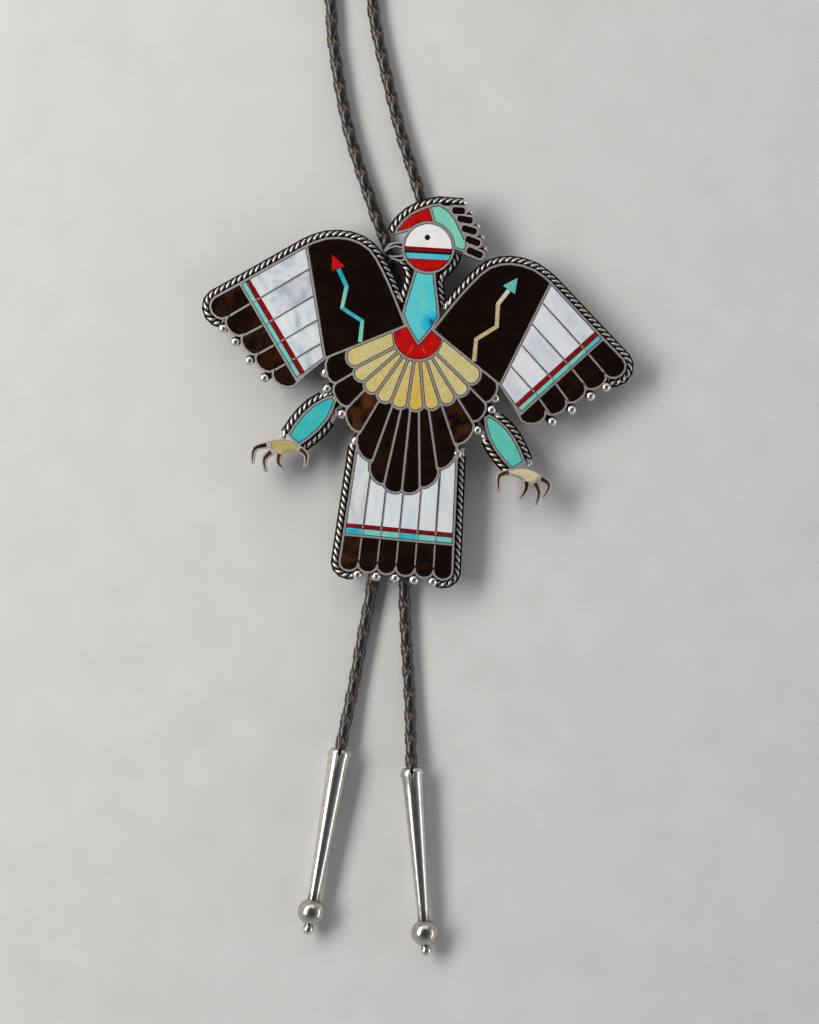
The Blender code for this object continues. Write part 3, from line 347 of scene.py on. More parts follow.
def ring_faces(rings, sides, first):
    """The side faces of a run of rings, and its two ends."""
    faces = []
    for ring in range(rings - 1):
        for side in range(sides):
            a = first + ring * sides + side
            b = first + ring * sides + (side + 1) % sides
            faces.append((a, a + sides, b + sides, b))
    faces.append(tuple(first + side for side in range(sides)))
    faces.append(tuple(first + (rings - 1) * sides + side for side in reversed(range(sides))))
    return faces


def add_piece(name, mesh, materials, replaced=None):
    """Puts a mesh in the scene as a piece of the tie."""
    for material in materials:
        mesh.materials.append(material)
    piece = bpy.data.objects.new(name, mesh)
    bpy.context.scene.collection.objects.link(piece)
    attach(piece, "root")
    if replaced:
        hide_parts(replaced)
    return piece


def shade(mesh, angle):
    """Smooth shading with sharp edges where two faces meet at more than the angle in degrees."""
    mesh.shade_smooth()
    mesh.set_sharp_from_angle(angle=math.radians(angle))


def mesh_from(shape, name):
    """The mesh of a finished bmesh."""
    mesh = bpy.data.meshes.new(name)
    shape.to_mesh(mesh)
    shape.free()
    return mesh


def mesh_of(name, places, faces):
    mesh = bpy.data.meshes.new(name)
    mesh.from_pydata([tuple(place) for place in places], [], faces)
    return mesh


def braided_cord(name, line, step):
    distance = np.arange(0, line.length, step)
    section = np.array(LACE_SECTION)
    sides = len(section)
    slope = math.atan(2 * math.pi * LACE_OUTSIDE / LACE_LAY)
    places, faces, slots = [], [], []
    for way in (1, -1):
        for lace in (0, 1):
            turn = way * 2 * math.pi * distance / LACE_LAY + math.pi * lace
            reach = LACE_MIDDLE + way * LACE_SWING * np.cos(4 * math.pi * distance / LACE_LAY)
            across = section[:, 0] * LACE_WIDTH
            s = np.clip(distance[:, None] - way * math.sin(slope) * across[None, :], 0, line.length)
            angle = turn[:, None] + math.cos(slope) * across[None, :] / LACE_OUTSIDE
            out = reach[:, None] + section[None, :, 1] * LACE_THICKNESS
            first = sum(len(block) for block in places)
            places.append(line.round_it(s, angle, out).reshape(-1, 3))
            new_faces = ring_faces(len(distance), sides, first)
            faces += new_faces
            slots += [int(side % sides in CUT_SIDES) for side in range(len(new_faces) - 2)]
            slots += [0, 0]
    core = distance[::3]
    turns = np.linspace(0, 2 * math.pi, 8, endpoint=False)
    s, angle = np.meshgrid(core, turns, indexing="ij")
    first = sum(len(block) for block in places)
    places.append(line.round_it(s, angle, np.full_like(s, CORE_RADIUS)).reshape(-1, 3))
    new_faces = ring_faces(len(core), len(turns), first)
    faces += new_faces
    slots += [0] * len(new_faces)
    mesh = mesh_of(name, np.concatenate(places), faces)
    mesh.polygons.foreach_set("material_index", slots)
    shade(mesh, 50)
    return add_piece(name, mesh, [lace_black, lace_edge], "cord")


cord = braided_cord("cord_braid", Line(cord_line), 0.0009)
print("cord faces:", len(cord.data.polygons))

# %% [markdown]
# ## Silver
# Old silver is bright where cloth and fingers reach and brown-black where they don't. The tops of the
# walls are polished, the narrow gaps round the stones and the back plate are dark. In this frame that is
# simply a matter of height, so the silver's colour follows Z, with a little noise so that the edge of
# the tarnish wanders. The silvers of the wires, rims and drops are brighter, and the thin walls between
# the pearls are duller than the rest.

# %% Silver
WANDER = 0.0003  # how far the tarnish's edge wanders up and down


def silver(name, bright, rough, dark=None, low=None, high=None, scale=900):
    """Silver that is dark below the height low and bright above the height high."""
    material = new_material(name, bright, rough[0], 1.0)
    where = place_in(material)
    cloud = noise(material, where, scale, 4)
    scratch = noise(material, place_in(material, (1, 6, 1), 25), scale * 3, 2)
    colour = ramp(material, cloud, [(0.3, tuple(c * 0.82 for c in bright)), (0.65, bright)])
    if dark:
        height = add_node(material, "ShaderNodeSeparateXYZ", {"Vector": where}).outputs["Z"]
        height = calculated(material, "ADD", height, calculated(material, "MULTIPLY", cloud, WANDER))
        colour = mixed(material, remapped(material, height, low, high), dark, colour)
    wire_up(material, colour, "Base Color")
    wire_up(material, remapped(material, scratch, 0.0, 1.0, *rough), "Roughness")
    bump(material, scratch, 0.00003, 0.35)
    return material


RECESS, WORN_RECESS = (0.035, 0.028, 0.024), (0.10, 0.085, 0.07)
channel_silver = silver("channel_silver", (0.64, 0.61, 0.59), (0.38, 0.56), RECESS, 0.0094, 0.0101)
dull_silver = silver("dull_silver", (0.20, 0.20, 0.20), (0.34, 0.52), RECESS, 0.0094, 0.0101)
wire_silver = silver("wire_silver", (0.70, 0.67, 0.63), (0.36, 0.55), (0.26, 0.23, 0.20), 0.0076, 0.0086)
rim_silver = silver("rim_silver", (0.76, 0.73, 0.70), (0.42, 0.58), WORN_RECESS, 0.0096, 0.0101)
drop_silver = silver("drop_silver", (0.78, 0.75, 0.71), (0.16, 0.30))
clip_silver = silver("clip_silver", (0.62, 0.61, 0.58), (0.3, 0.45))
print("silvers ready")

# %% [markdown]
# ## Shell, coral and turquoise
# Each stone is cut from its own piece of rough, so no two are quite alike. Every stone carries a number
# called tone, which makes its colour a little lighter or darker, and the grain comes from noise in the
# frame's space: soft waves for mother of pearl, fine lines for gold-lip shell, clouds and dark veins for
# turquoise.

# %% Stones


def shell(name, dark, middle, light, stretch, scale, roughness, tone, sheen=0.35):
    """Nacre: long soft waves along the stone, and fine lines in them."""
    material = new_material(name, middle, roughness, Coat_Weight=sheen, Coat_Roughness=0.06)
    number = own(material, "tone")
    wave = noise(material, grain_place(material, stretch), scale, 4, 0.55, 1.6, number)
    fine = noise(material, grain_place(material, stretch), scale * 8, 2, 0.5, 0.6, number)
    colour = ramp(material, wave, [(0.30, dark), (0.46, middle), (0.62, light)])
    lines = ramp(material, fine, [(0.36, (0.95, 0.95, 0.95)), (0.6, (1, 1, 1))])
    colour = mixed(material, 1.0, colour, lines, "MULTIPLY")
    tint = noise(material, grain_place(material, (1, 1, 1)), scale * 0.8, 2, 0.5, 0.5, number)
    glow = ramp(material, tint, [(0.38, (0.95, 1.0, 1.0)), (0.5, (1, 1, 1)), (0.62, (1.0, 0.96, 0.95))])
    colour = mixed(material, 1.0, colour, glow, "MULTIPLY")
    wire_up(material, toned(material, colour, tone), "Base Color")
    bump(material, wave, 0.00002, 0.25)
    return material


pearl_left = shell(
    "pearl_left", (0.33, 0.39, 0.46), (0.64, 0.68, 0.71), (0.78, 0.78, 0.77), (0.9, 1.9, 1), 62, 0.18, 0.05
)
pearl_right = shell(
    "pearl_right", (0.55, 0.60, 0.66), (0.67, 0.71, 0.76), (0.76, 0.78, 0.80), (1.5, 0.7, 1), 85, 0.18, 0.04
)
pearl_tail = shell(
    "pearl_tail", (0.52, 0.59, 0.65), (0.67, 0.71, 0.74), (0.76, 0.77, 0.78), (2.2, 0.4, 1), 95, 0.18, 0.05
)


def gold_lip(name, pale, deep):
    """Gold-lip shell: each piece lies between pale cream and deep yellow, with fine slanting lines."""
    material = new_material(name, pale, 0.22, Coat_Weight=0.35, Coat_Roughness=0.06)
    number = own(material, "tone")
    cloud = noise(material, grain_place(material, (1, 2.2, 1)), 150, 4, 0.55, 1.2, number)
    fine = noise(material, grain_place(material, (1, 3.5, 1)), 620, 3, 0.6, 1.0, number)
    share = remapped(material, calculated(material, "ADD", cloud, number), 0.45, 1.5)
    colour = mixed(material, share, pale, deep)
    lines = ramp(material, fine, [(0.36, (0.78, 0.74, 0.60)), (0.60, (1, 1, 1))])
    colour = mixed(material, 1.0, colour, lines, "MULTIPLY")
    wire_up(material, colour, "Base Color")
    bump(material, fine, 0.000015, 0.3)
    return material


gold_shell = gold_lip("gold_shell", (0.64, 0.60, 0.33), (0.70, 0.49, 0.10))
foot_shell = gold_lip("foot_shell", (0.68, 0.62, 0.38), (0.42, 0.32, 0.02))


def dark_shell(name, black, glow):
    """Pen shell: nearly black, with a brown glow that some pieces show and others don't."""
    material = new_material(name, black, 0.14, Specular_IOR_Level=0.3)
    number = own(material, "tone")
    cloud = noise(material, grain_place(material, (1, 1.4, 1)), 170, 4, 0.6, 0.8, number)
    patch = remapped(material, cloud, 0.40, 0.72)
    amount = calculated(material, "MULTIPLY", patch, calculated(material, "POWER", number, 2.0))
    wire_up(material, mixed(material, amount, black, glow), "Base Color")
    return material


pen_shell = dark_shell("pen_shell", (0.0058, 0.0022, 0.0013), (0.095, 0.034, 0.010))


def coral(name, light, dark):
    material = new_material(name, light, 0.2, Coat_Weight=0.3, Coat_Roughness=0.06)
    cloud = noise(material, place_in(material), 420, 4)
    colour = ramp(material, cloud, [(0.3, dark), (0.62, light)])
    wire_up(material, toned(material, colour, 0.12), "Base Color")
    bump(material, cloud, 0.00002, 0.2)
    return material


bright_coral = coral("bright_coral", (0.56, 0.004, 0.002), (0.36, 0.001, 0.001))
dark_coral = coral("dark_coral", (0.27, 0.003, 0.003), (0.19, 0.001, 0.001))


def turquoise(name, green, blue, veins=0.0, spot=None):
    """Turquoise: a stone's tone sets it between green and blue. It may have veins or a deep spot."""
    material = new_material(name, blue, 0.3, Coat_Weight=0.2, Coat_Roughness=0.12)
    number = own(material, "tone")
    where = place_in(material)
    cloud = noise(material, where, 210, 5, 0.6, 0.6, number)
    wave = remapped(material, cloud, 0.3, 0.7, 0.0, 0.55)
    share = remapped(material, calculated(material, "ADD", wave, number), 0.15, 1.2)
    colour = mixed(material, share, blue, green)
    if spot:
        centre, size, spot_colour, core = spot
        near = add_node(material, "ShaderNodeVectorMath", {0: where, 1: centre}, operation="DISTANCE")
        ragged = calculated(material, "MULTIPLY", noise(material, where, 620, 4, 0.6), size * 1.1)
        reach = calculated(material, "SUBTRACT", near.outputs["Value"], ragged)
        for edge, inner, tint in ((0.60, -0.05, spot_colour), (-0.24, -0.36, core)):
            colour = mixed(material, remapped(material, reach, size * edge, size * inner), colour, tint)
    if veins:
        cells = {"Vector": where, "Scale": 330.0}
        cells = add_node(material, "ShaderNodeTexVoronoi", cells, feature="DISTANCE_TO_EDGE")
        line = remapped(material, cells.outputs["Distance"], 0.0, 0.05, 1.0, 0.0)
        veined = remapped(material, noise(material, where, 140, 2), 0.52, 0.62, 0.0, veins)
        colour = mixed(material, calculated(material, "MULTIPLY", line, veined), colour, (0.02, 0.05, 0.05))
    wire_up(material, colour, "Base Color")
    bump(material, cloud, 0.00002, 0.25)
    return material


neck_turquoise = turquoise(
    "neck_turquoise", (0.20, 0.66, 0.58), (0.02, 0.50, 0.60), 0.0,
    ((0.0036, 0.0240, 0.010), 0.0034, (0.0, 0.42, 0.64), (0.01, 0.12, 0.20)),
)
crest_turquoise = turquoise("crest_turquoise", (0.24, 0.62, 0.45), (0.06, 0.50, 0.48), 0.15)
leg_turquoise = turquoise("leg_turquoise", (0.12, 0.54, 0.42), (0.005, 0.42, 0.48), 0.5)
bar_turquoise = turquoise("bar_turquoise", (0.22, 0.62, 0.50), (0.0, 0.42, 0.56))
print("stones ready")

# %% [markdown]
# ## Cutting the stones
# The frame's stones are plain prisms. A real stone has its top edge eased, or it would chip, and that
# thin round edge is what catches the light. Each stone is copied from the frame, its triangles are
# joined back into flat faces, and its upper edges get a small bevel. Fields of stones come as one solid
# with the silver walls standing between them, so the helper looks at the height of each top face: high
# ones are silver, low ones are stone. Each stone also gets its tone here, from a list or from a seeded
# random number, so that it is the same every time.

# %% Cut a stone
STONE_FACE = WALL_TOP - 0.0002
ARRIS = 0.00010
SAME_LEVEL = 0.00005  # heights closer than this are one level


def long_way(places):
    """The turn from +Y of a flat shape's longest direction."""
    flat = np.array([(place.x, place.y) for place in places])
    spread = np.cov((flat - flat.mean(axis=0)).T)
    x, y = np.linalg.eigh(spread)[1][:, 1]
    return math.atan2(x, y)


def cut_stone(node, material, tones=None, ridges=None):
    """Copies a frame solid, bevels its upper edges and gives its faces their materials, tones and leans."""
    shape = bmesh.new()
    shape.from_mesh(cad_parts[node].data)
    bmesh.ops.remove_doubles(shape, verts=shape.verts, dist=1e-6)
    bmesh.ops.dissolve_limit(shape, angle_limit=math.radians(1), verts=shape.verts, edges=shape.edges)
    bmesh.ops.recalc_face_normals(shape, faces=shape.faces)
    chance = random.Random(node)
    tone = shape.faces.layers.float.new("tone")
    lean = shape.faces.layers.float.new("lean")
    for face in shape.faces:
        ridge = face.calc_center_median().z > STONE_FACE + SAME_LEVEL
        wall = abs(face.normal.z) < 0.5 and min(v.co.z for v in face.verts) > STONE_FACE - SAME_LEVEL
        face.material_index = 1 if ridge or wall else 0
        face[tone] = 0.5
    stones = [face for face in shape.faces if face.normal.z > 0.9 and not face.material_index]
    stones.sort(key=lambda face: tuple(face.calc_center_median()))
    for number, face in enumerate(stones):
        face[tone] = tones[number % len(tones)] if tones else chance.random()
        face[lean] = long_way([vert.co for vert in face.verts])
    edges = [
        edge
        for edge in shape.edges
        if len(edge.link_faces) == 2
        and edge.is_convex
        and any(face.normal.z > 0.9 for face in edge.link_faces)
        and edge.calc_face_angle(0) > math.radians(30)
    ]
    bmesh.ops.bevel(
        shape, geom=edges, offset=ARRIS, segments=2, profile=0.6, affect="EDGES", clamp_overlap=True
    )
    mesh = mesh_from(shape, node)
    shade(mesh, 50)
    # The polished tops stay flat, or the bevel would bend their reflections
    mesh.polygons.foreach_set("use_smooth", [face.normal.z < 0.99 for face in mesh.polygons])
    add_piece(f"cut_{node}", mesh, [material, ridges or channel_silver], node)


# From left to right, 0 is pale and 1 is deep for the gold shell, 0 is black and 1 is brown for the dark
YELLOW_TONES = (0.35, 0.25, 0.45, 0.40, 0.55, 0.95, 0.75, 0.35, 0.10, 0.15)
DARK_TONES = (0.20, 0.30, 0.95, 0.35, 0.40, 0.15, 0.15, 0.25, 0.30, 0.85, 0.20, 0.30)
for number, tone in enumerate(YELLOW_TONES, 1):
    cut_stone(f"yellow_feather_{number:02}", gold_shell, (tone,))
for number, tone in enumerate(DARK_TONES, 1):
    cut_stone(f"dark_feather_{number:02}", pen_shell, (tone,))
for number in range(1, 6):
    cut_stone(f"crest_feather_{number}", rim_silver, (0.5,))
# For each side: its pearl, and the tones of its bar, tips, leg and foot
SIDE_STONES = {
    "left": (pearl_left, (0.75, 0.8, 0.7, 0.75, 0.8), (0.6, 0.5, 0.7), 0.25, 0.7),
    "right": (pearl_right, (0.8, 0.75, 0.7, 0.7, 0.3), (0.3, 0.2, 0.4), 0.8, 0.1),
}
for word, (pearl, bar_tones, tip_tones, leg_tone, foot_tone) in SIDE_STONES.items():
    cut_stone(f"wing_pearls_{word}", pearl, ridges=dull_silver)
    cut_stone(f"wing_coral_{word}", dark_coral)
    cut_stone(f"wing_turquoise_{word}", bar_turquoise, bar_tones)
    cut_stone(f"wing_tips_{word}", pen_shell, tip_tones)
    cut_stone(f"wing_panel_{word}", pen_shell, (0.2,))
    cut_stone(f"leg_stone_{word}", leg_turquoise, (leg_tone,))
    cut_stone(f"foot_stone_{word}", foot_shell, (foot_tone,))
cut_stone("tail_pearls", pearl_tail, ridges=dull_silver)
cut_stone("tail_coral", dark_coral)
cut_stone("tail_turquoise", bar_turquoise, (0.0, 0.6, 0.7, 0.0, 0.75, 0.65))
cut_stone("tail_tips", pen_shell, (0.75, 0.45, 0.35, 0.3, 0.5, 0.15))
cut_stone("collar_stone", bright_coral)
cut_stone("neck_stone", neck_turquoise, (0.3,))
cut_stone("crest_coral", bright_coral)
cut_stone("crest_turquoise", crest_turquoise, (0.7,))

# %% [markdown]
# ## The places on the bird
# The border, the drops and the inlaid arrows follow the bird's outline, so the lesson needs the same
# tables that the frame was drawn from: a wing laid out along and across its feathers, the tail, the head
# and the legs.

# %% Places
FAN_UP = 0.0197  # the feathers' centre lies this far up the middle line
DARK_NOTCH = 0.0467
WING_WIDTH, WING_LEAN = 0.0331, 39.2
SHOULDER_OUT, SHOULDER_UP = 0.0042, 0.0022
SHOULDER, CREASE = (-1.000, -0.090), (-0.600, 0.990)
WING_TOP = ((-1.048, 0.200), (-1.075, 0.450), (-1.070, 0.668), (-0.967, 0.840), (-0.785, 0.955))
WING_TIP = ((0.356, 1.010), (0.350, 0.797), 0.45)  # the first feather's end: its two corners and its bulge
WING_DROPS = ((0.435, 0.731), (0.402, 0.570), (0.378, 0.360), (0.340, 0.155))
SIDES = {"left": -1, "right": 1}


def fan_point(turn, reach):
    """A place about the feathers' centre: a turn from straight down, and a distance."""
    angle = math.radians(turn)
    return Vector((reach * math.sin(angle), FAN_UP - reach * math.cos(angle)))


def wing_point(along, across, side):
    lean = math.radians(WING_LEAN)
    feathers = Vector((math.cos(lean), -math.sin(lean)))
    upwards = Vector((math.sin(lean), math.cos(lean)))
    corner = Vector((SHOULDER_OUT, FAN_UP + SHOULDER_UP))
    place = corner + WING_WIDTH * (feathers * (along - SHOULDER[0]) + upwards * (across - SHOULDER[1]))
    return Vector((side * place.x, place.y))


def round_end(start, end, bulge, steps=10):
    """Points of half an ellipse from start to end that bulges to the right by a share of their distance."""
    middle, half = (start + end) / 2, (end - start) / 2
    out = Vector((half.y, -half.x)) * 2 * bulge
    angles = [math.pi * step / steps for step in range(steps + 1)]
    return [middle - half * math.cos(angle) + out * math.sin(angle) for angle in angles]


def beside(route, distance):
    """The route moved to its left by distance."""
    moved = []
    for index, here in enumerate(route):
        one = (here - route[max(index - 1, 0)]).normalized()
        two = (route[min(index + 1, len(route) - 1)] - here).normalized()
        along = (one + two).normalized()
        moved.append(here + Vector((-along.y, along.x)) * distance)
    return moved


TAIL_LEAN, TAIL_NOTCH, TAIL_WIDTH, TAIL_FLARE = 3.2, 0.0700, 0.0340, 0.107
TAIL_STRIPS, TAIL_ROUND = 6, 0.42


def tail_point(down, across):
    lean = math.radians(TAIL_LEAN)
    return Vector((down * math.sin(lean) + across * math.cos(lean),
                   FAN_UP + across * math.sin(lean) - down * math.cos(lean)))


def tail_edge(down, side):
    return tail_point(down, side * (TAIL_WIDTH / 2 - (TAIL_NOTCH - down) * TAIL_FLARE / 2))


NECK_LENGTH, NECK_WIDTH, NECK_LEAN, NECK_SIDE, NECK_DROP = 0.0214, 0.0107, 3.5, 0.00045, 0.0025
FACE_RADIUS, CREST_HEIGHT = 0.0076, 0.0058
CREST_REACH = FACE_RADIUS + CREST_HEIGHT
CREST_EDGE = (
    (165, 0.538), (157, 0.584), (142, 0.584), (126, 0.637), (112, 0.690), (97, 0.838), (84, 1.000),
)


def neck_point(down, side=0.0):
    lean = math.radians(NECK_LEAN)
    up = Vector((-math.sin(lean), math.cos(lean)))
    tip = Vector((NECK_SIDE, FAN_UP - NECK_DROP))
    return tip + up * NECK_LENGTH * (1 - down) + Vector((up.y, -up.x)) * side * NECK_WIDTH / 2


FACE_CENTRE = neck_point(0) + Vector((0, FACE_RADIUS))


def face_point(turn, distance):
    return FACE_CENTRE + distance * Vector((math.cos(math.radians(turn)), math.sin(math.radians(turn))))


def head_point(right, up, size):
    return FACE_CENTRE + Vector((right, up)) * size


LEG_LENGTH, FOOT_WIDTH, FOOT_AHEAD, FOOT_DOWN = 0.0177, 0.0094, 0.0024, 0.0024
LEG_SECTIONS = ((0.02, 0.040), (0.15, 0.105), (0.35, 0.165), (0.56, 0.182), (0.78, 0.163), (1.00, 0.122))
LEGS = {"left": (-1, 44.7, 0.669, 35.1), "right": (1, 49.0, 0.680, 41.3)}


def leg_point(name, along, across):
    side, hip_turn, hip_reach, turn = LEGS[name]
    angle = math.radians(turn)
    down = Vector((math.sin(angle), -math.cos(angle)))
    place = fan_point(hip_turn, hip_reach * DARK_NOTCH)
    place += LEG_LENGTH * (down * along + Vector((-down.y, down.x)) * across)
    return Vector((side * place.x, place.y))


def foot_point(name, outwards, up):
    ahead = LEGS[name][0] * (FOOT_AHEAD + outwards * FOOT_WIDTH)
    return leg_point(name, 1, 0) + Vector((ahead, up * FOOT_WIDTH - FOOT_DOWN))


print("face centre in mm:", [round(value * 1000, 2) for value in FACE_CENTRE])

# %% [markdown]
# ## Twisted wire
# The border is two round wires twisted together and soldered beside the bezel. A pair of helices about
# the same route gives exactly that, with the true bumps and grooves. A bump map would look flat from the
# side. The route is first made even: it is cut into short equal steps and each point is moved towards
# its neighbours, as a wire can't turn a sharp corner.

# %% Twisted wire
WALL, WALL_HEIGHT, WIRE, WIRE_GAP = 0.0006, 0.0025, 0.0016, 0.00025
PLATE_TOP = WALL_TOP - WALL_HEIGHT
WIRE_MIDDLE = PLATE_TOP + WIRE * 0.3
BORDER = WALL / 2 + WIRE_GAP + WIRE / 2
STRAND_RADIUS = 0.00057
STRAND_REACH = 0.00033
WIRE_LAY = 0.0040


def even_route(points, height, step=0.0004, rounds=6):
    line = Line([(point.x, point.y, height) for point in points])
    even = line.at(np.linspace(0, line.length, max(int(line.length / step), 4)), line.points)
    for _ in range(rounds):
        even[1:-1] = (even[:-2] + even[1:-1] + even[2:]) / 3
    return Line(even)


def twisted_wire(name, route, step=0.00025):
    line = even_route(route, WIRE_MIDDLE)
    distance = np.arange(0, line.length, step)
    sides = 8
    turns = np.linspace(0, 2 * math.pi, sides, endpoint=False)
    places, faces = [], []
    for strand in (0, 1):
        angle = 2 * math.pi * distance / WIRE_LAY + math.pi * strand
        centre = line.round_it(distance, angle, np.full_like(distance, STRAND_REACH))
        side = line.at(distance, line.side)
        up = line.at(distance, line.up)
        ring = side[:, None] * np.cos(turns)[None, :, None] + up[:, None] * np.sin(turns)[None, :, None]
        first = sum(len(block) for block in places)
        places.append((centre[:, None] + ring * STRAND_RADIUS).reshape(-1, 3))
        faces += ring_faces(len(distance), sides, first)
    mesh = mesh_of(name, np.concatenate(places), faces)
    shade(mesh, 60)
    add_piece(name, mesh, [wire_silver])
    return len(faces)


def wing_top(side):
    places = [(*wing_point(*place, side), 0) for place in (SHOULDER, *WING_TOP, CREASE)]
    return [point.to_2d() for point in smooth(places, 4)]


faces = 0
for word, side in SIDES.items():
    end = round_end(wing_point(*WING_TIP[0], side), wing_point(*WING_TIP[1], side), -side * WING_TIP[2])
    wing = wing_top(side)[3:] + [wing_point(0, 1, side)] + end[:9]
    faces += twisted_wire(f"wing_wire_{word}", beside(wing, side * BORDER))
    outer = [leg_point(word, along, half) for along, half in (*LEG_SECTIONS, (1.1, 0.09))]
    inner = [leg_point(word, along, -half) for along, half in LEG_SECTIONS[1:]]
    faces += twisted_wire(f"leg_wire_outer_{word}", beside(outer, side * BORDER))
    faces += twisted_wire(f"leg_wire_inner_{word}", beside(inner, -side * BORDER))
    corner = [tail_point(TAIL_NOTCH, side * TAIL_WIDTH * share) for share in (0.5, 0.5 - 1 / TAIL_STRIPS)]
    end = round_end(*corner, -side * TAIL_ROUND)
    tail = [tail_edge(TAIL_NOTCH * share, side) for share in (0.465, 0.6, 0.75)] + end[:8]
    faces += twisted_wire(f"tail_wire_{word}", beside(tail, side * BORDER))

crest = [face_point(turn, FACE_RADIUS + share * CREST_HEIGHT) for turn, share in CREST_EDGE]
crest.append(head_point(0.70, 1.045, CREST_REACH))
faces += twisted_wire("crest_wire", beside(crest, BORDER))
NECK_TOP = ((0.10, 0.610), (0.30, 0.775), (0.46, 0.915))
chin = [face_point(turn, FACE_RADIUS) for turn in (212, 226, 240)]
chin += [neck_point(down, -share) for down, share in NECK_TOP]
faces += twisted_wire("chin_wire_left", beside(chin, -BORDER))
chin = [face_point(turn, FACE_RADIUS) for turn in (360, 346, 332, 318, 304)]
chin += [neck_point(down, share) for down, share in NECK_TOP]
faces += twisted_wire("chin_wire_right", beside(chin, BORDER))
print("faces in the twisted wires:", faces)

# %% [markdown]
# ## Silver drops
# Small balls of silver, melted from snippets of wire, sit in the notches between the feather tips, and
# smaller ones between the crest's feathers. Each has settled a little into the plate, so it is slightly
# flatter than it is wide.

# %% Drops
DROP, SMALL_DROP, DROP_REACH = 0.0031, 0.0014, 0.0032
ELBOW, OUTER_WALL = (-0.224, 0.027), 59.5
DARK_NOTCHES = ((-51.0, 0.610), (-35.5, 0.635), (-22.0, 0.720), (27.2, 0.733), (40.7, 0.650), (53.3, 0.604))
CREST_DROPS = ((0.850, 0.910), (1.030, 0.645), (1.157, 0.410), (1.262, 0.164))


def silver_drop(name, place, width, sunk):
    shape = bmesh.new()
    bmesh.ops.create_uvsphere(shape, u_segments=28, v_segments=18, radius=width / 2 * 1.03)
    bmesh.ops.scale(shape, vec=(1, 1, 0.98), verts=shape.verts)
    bmesh.ops.translate(shape, vec=(*place, PLATE_TOP + width * sunk), verts=shape.verts)
    mesh = mesh_from(shape, name)
    mesh.shade_smooth()
    add_piece(name, mesh, [drop_silver])


# The feathers' outermost walls end just inside the wing's elbow, with a drop beyond each
elbow = wing_point(*ELBOW, 1)
side_reach = (wing_point(*SHOULDER, 1).lerp(elbow, 0.92) - fan_point(0, 0)).length
places = [wing_point(*place, side) for side in SIDES.values() for place in WING_DROPS]
places += [fan_point(side * OUTER_WALL, side_reach + DROP_REACH) for side in SIDES.values()]
places += [fan_point(turn, share * DARK_NOTCH + DROP_REACH) for turn, share in DARK_NOTCHES]
walls = [TAIL_WIDTH * (wall / TAIL_STRIPS - 0.5) for wall in range(1, TAIL_STRIPS)]
places += [tail_point(TAIL_NOTCH + DROP_REACH, across) for across in walls]
for number, place in enumerate(places, 1):
    silver_drop(f"drop_{number:02}", place, DROP, 0.27)
for number, place in enumerate(CREST_DROPS, 1):
    silver_drop(f"small_drop_{number}", head_point(*place, CREST_REACH), SMALL_DROP, 0.4)
print("drops:", len(places) + len(CREST_DROPS))

# %% [markdown]
# ## Inlays cut from flat pieces
# The arrows, the pupil, and the rims and dark centres of the beak, crest feathers and claws are thin
# flat pieces. One helper makes such a piece from its outline: a slab between two heights with an eased
# top edge.

# %% Flat inlays


def counter_clockwise(outline):
    area = sum(a.x * b.y - b.x * a.y for a, b in zip(outline, outline[1:] + outline[:1]))
    return outline if area > 0 else outline[::-1]


def grown(outline, amount):
    """The outline with each side moved outwards by amount, or inwards where amount is below zero."""
    outline = counter_clockwise(outline)
    moved = []
    for before, here, after in zip(outline[-1:] + outline[:-1], outline, outline[1:] + outline[:1]):
        one = (here - before).normalized()
        two = (after - here).normalized()
        outwards = Vector((one.y + two.y, -one.x - two.x))
        moved.append(here + outwards * amount / max(1 + one.dot(two), 0.25))
    return moved


def set_tone(mesh, tone):
    values = [tone] * len(mesh.polygons)
    mesh.attributes.new("tone", "FLOAT", "FACE").data.foreach_set("value", values)


def flat_piece(name, outline, low, high, material, arris=0.00006, replaced=None, tone=0.5):
    shape = bmesh.new()
    corners = [shape.verts.new((point.x, point.y, high)) for point in counter_clockwise(outline)]
    face = shape.faces.new(corners)
    raised = bmesh.ops.extrude_face_region(shape, geom=[face], use_keep_orig=True)["geom"]
    foot = [item for item in raised if isinstance(item, bmesh.types.BMVert)]
    bmesh.ops.translate(shape, vec=(0, 0, low - high), verts=foot)
    bmesh.ops.recalc_face_normals(shape, faces=shape.faces)
    top = [edge for edge in shape.edges if all(vert.co.z > (low + high) / 2 for vert in edge.verts)]
    bmesh.ops.bevel(shape, geom=top, offset=arris, segments=1, affect="EDGES", clamp_overlap=True)
    mesh = mesh_from(shape, name)
    set_tone(mesh, tone)
    add_piece(name, mesh, [material], replaced)


print("flat helper ready")

# %% [markdown]
# ## The arrows
# Each wing panel has an arrow let into it: a triangle for its head and four short bars in a zigzag. On
# the left the head is coral and the bars are blues and greens, on the right the head is turquoise and
# the bars are shell.

# %% Arrows
ARROW_LINE, ARROW_FOOT, ARROW_TOP, ARROW_ARRIS = 0.00135, 0.0091, STONE_FACE + 0.00004, 0.00004
ARROW_HEADS = {
    "left": ((-0.758, 0.800), (-0.800, 0.655), (-0.680, 0.677)),
    "right": ((-0.835, 0.797), (-0.872, 0.651), (-0.742, 0.680)),
}
ARROW_ZIGZAGS = {
    "left": ((-0.741, 0.662), (-0.722, 0.487), (-0.588, 0.340), (-0.686, 0.145), (-0.574, -0.008)),
    "right": ((-0.805, 0.662), (-0.778, 0.505), (-0.635, 0.360), (-0.675, 0.145), (-0.540, -0.004)),
}
arrow_turquoise = turquoise("arrow_turquoise", (0.22, 0.60, 0.42), (0.0, 0.36, 0.46))
arrow_shell = gold_lip("arrow_shell", (0.68, 0.64, 0.50), (0.50, 0.40, 0.12))
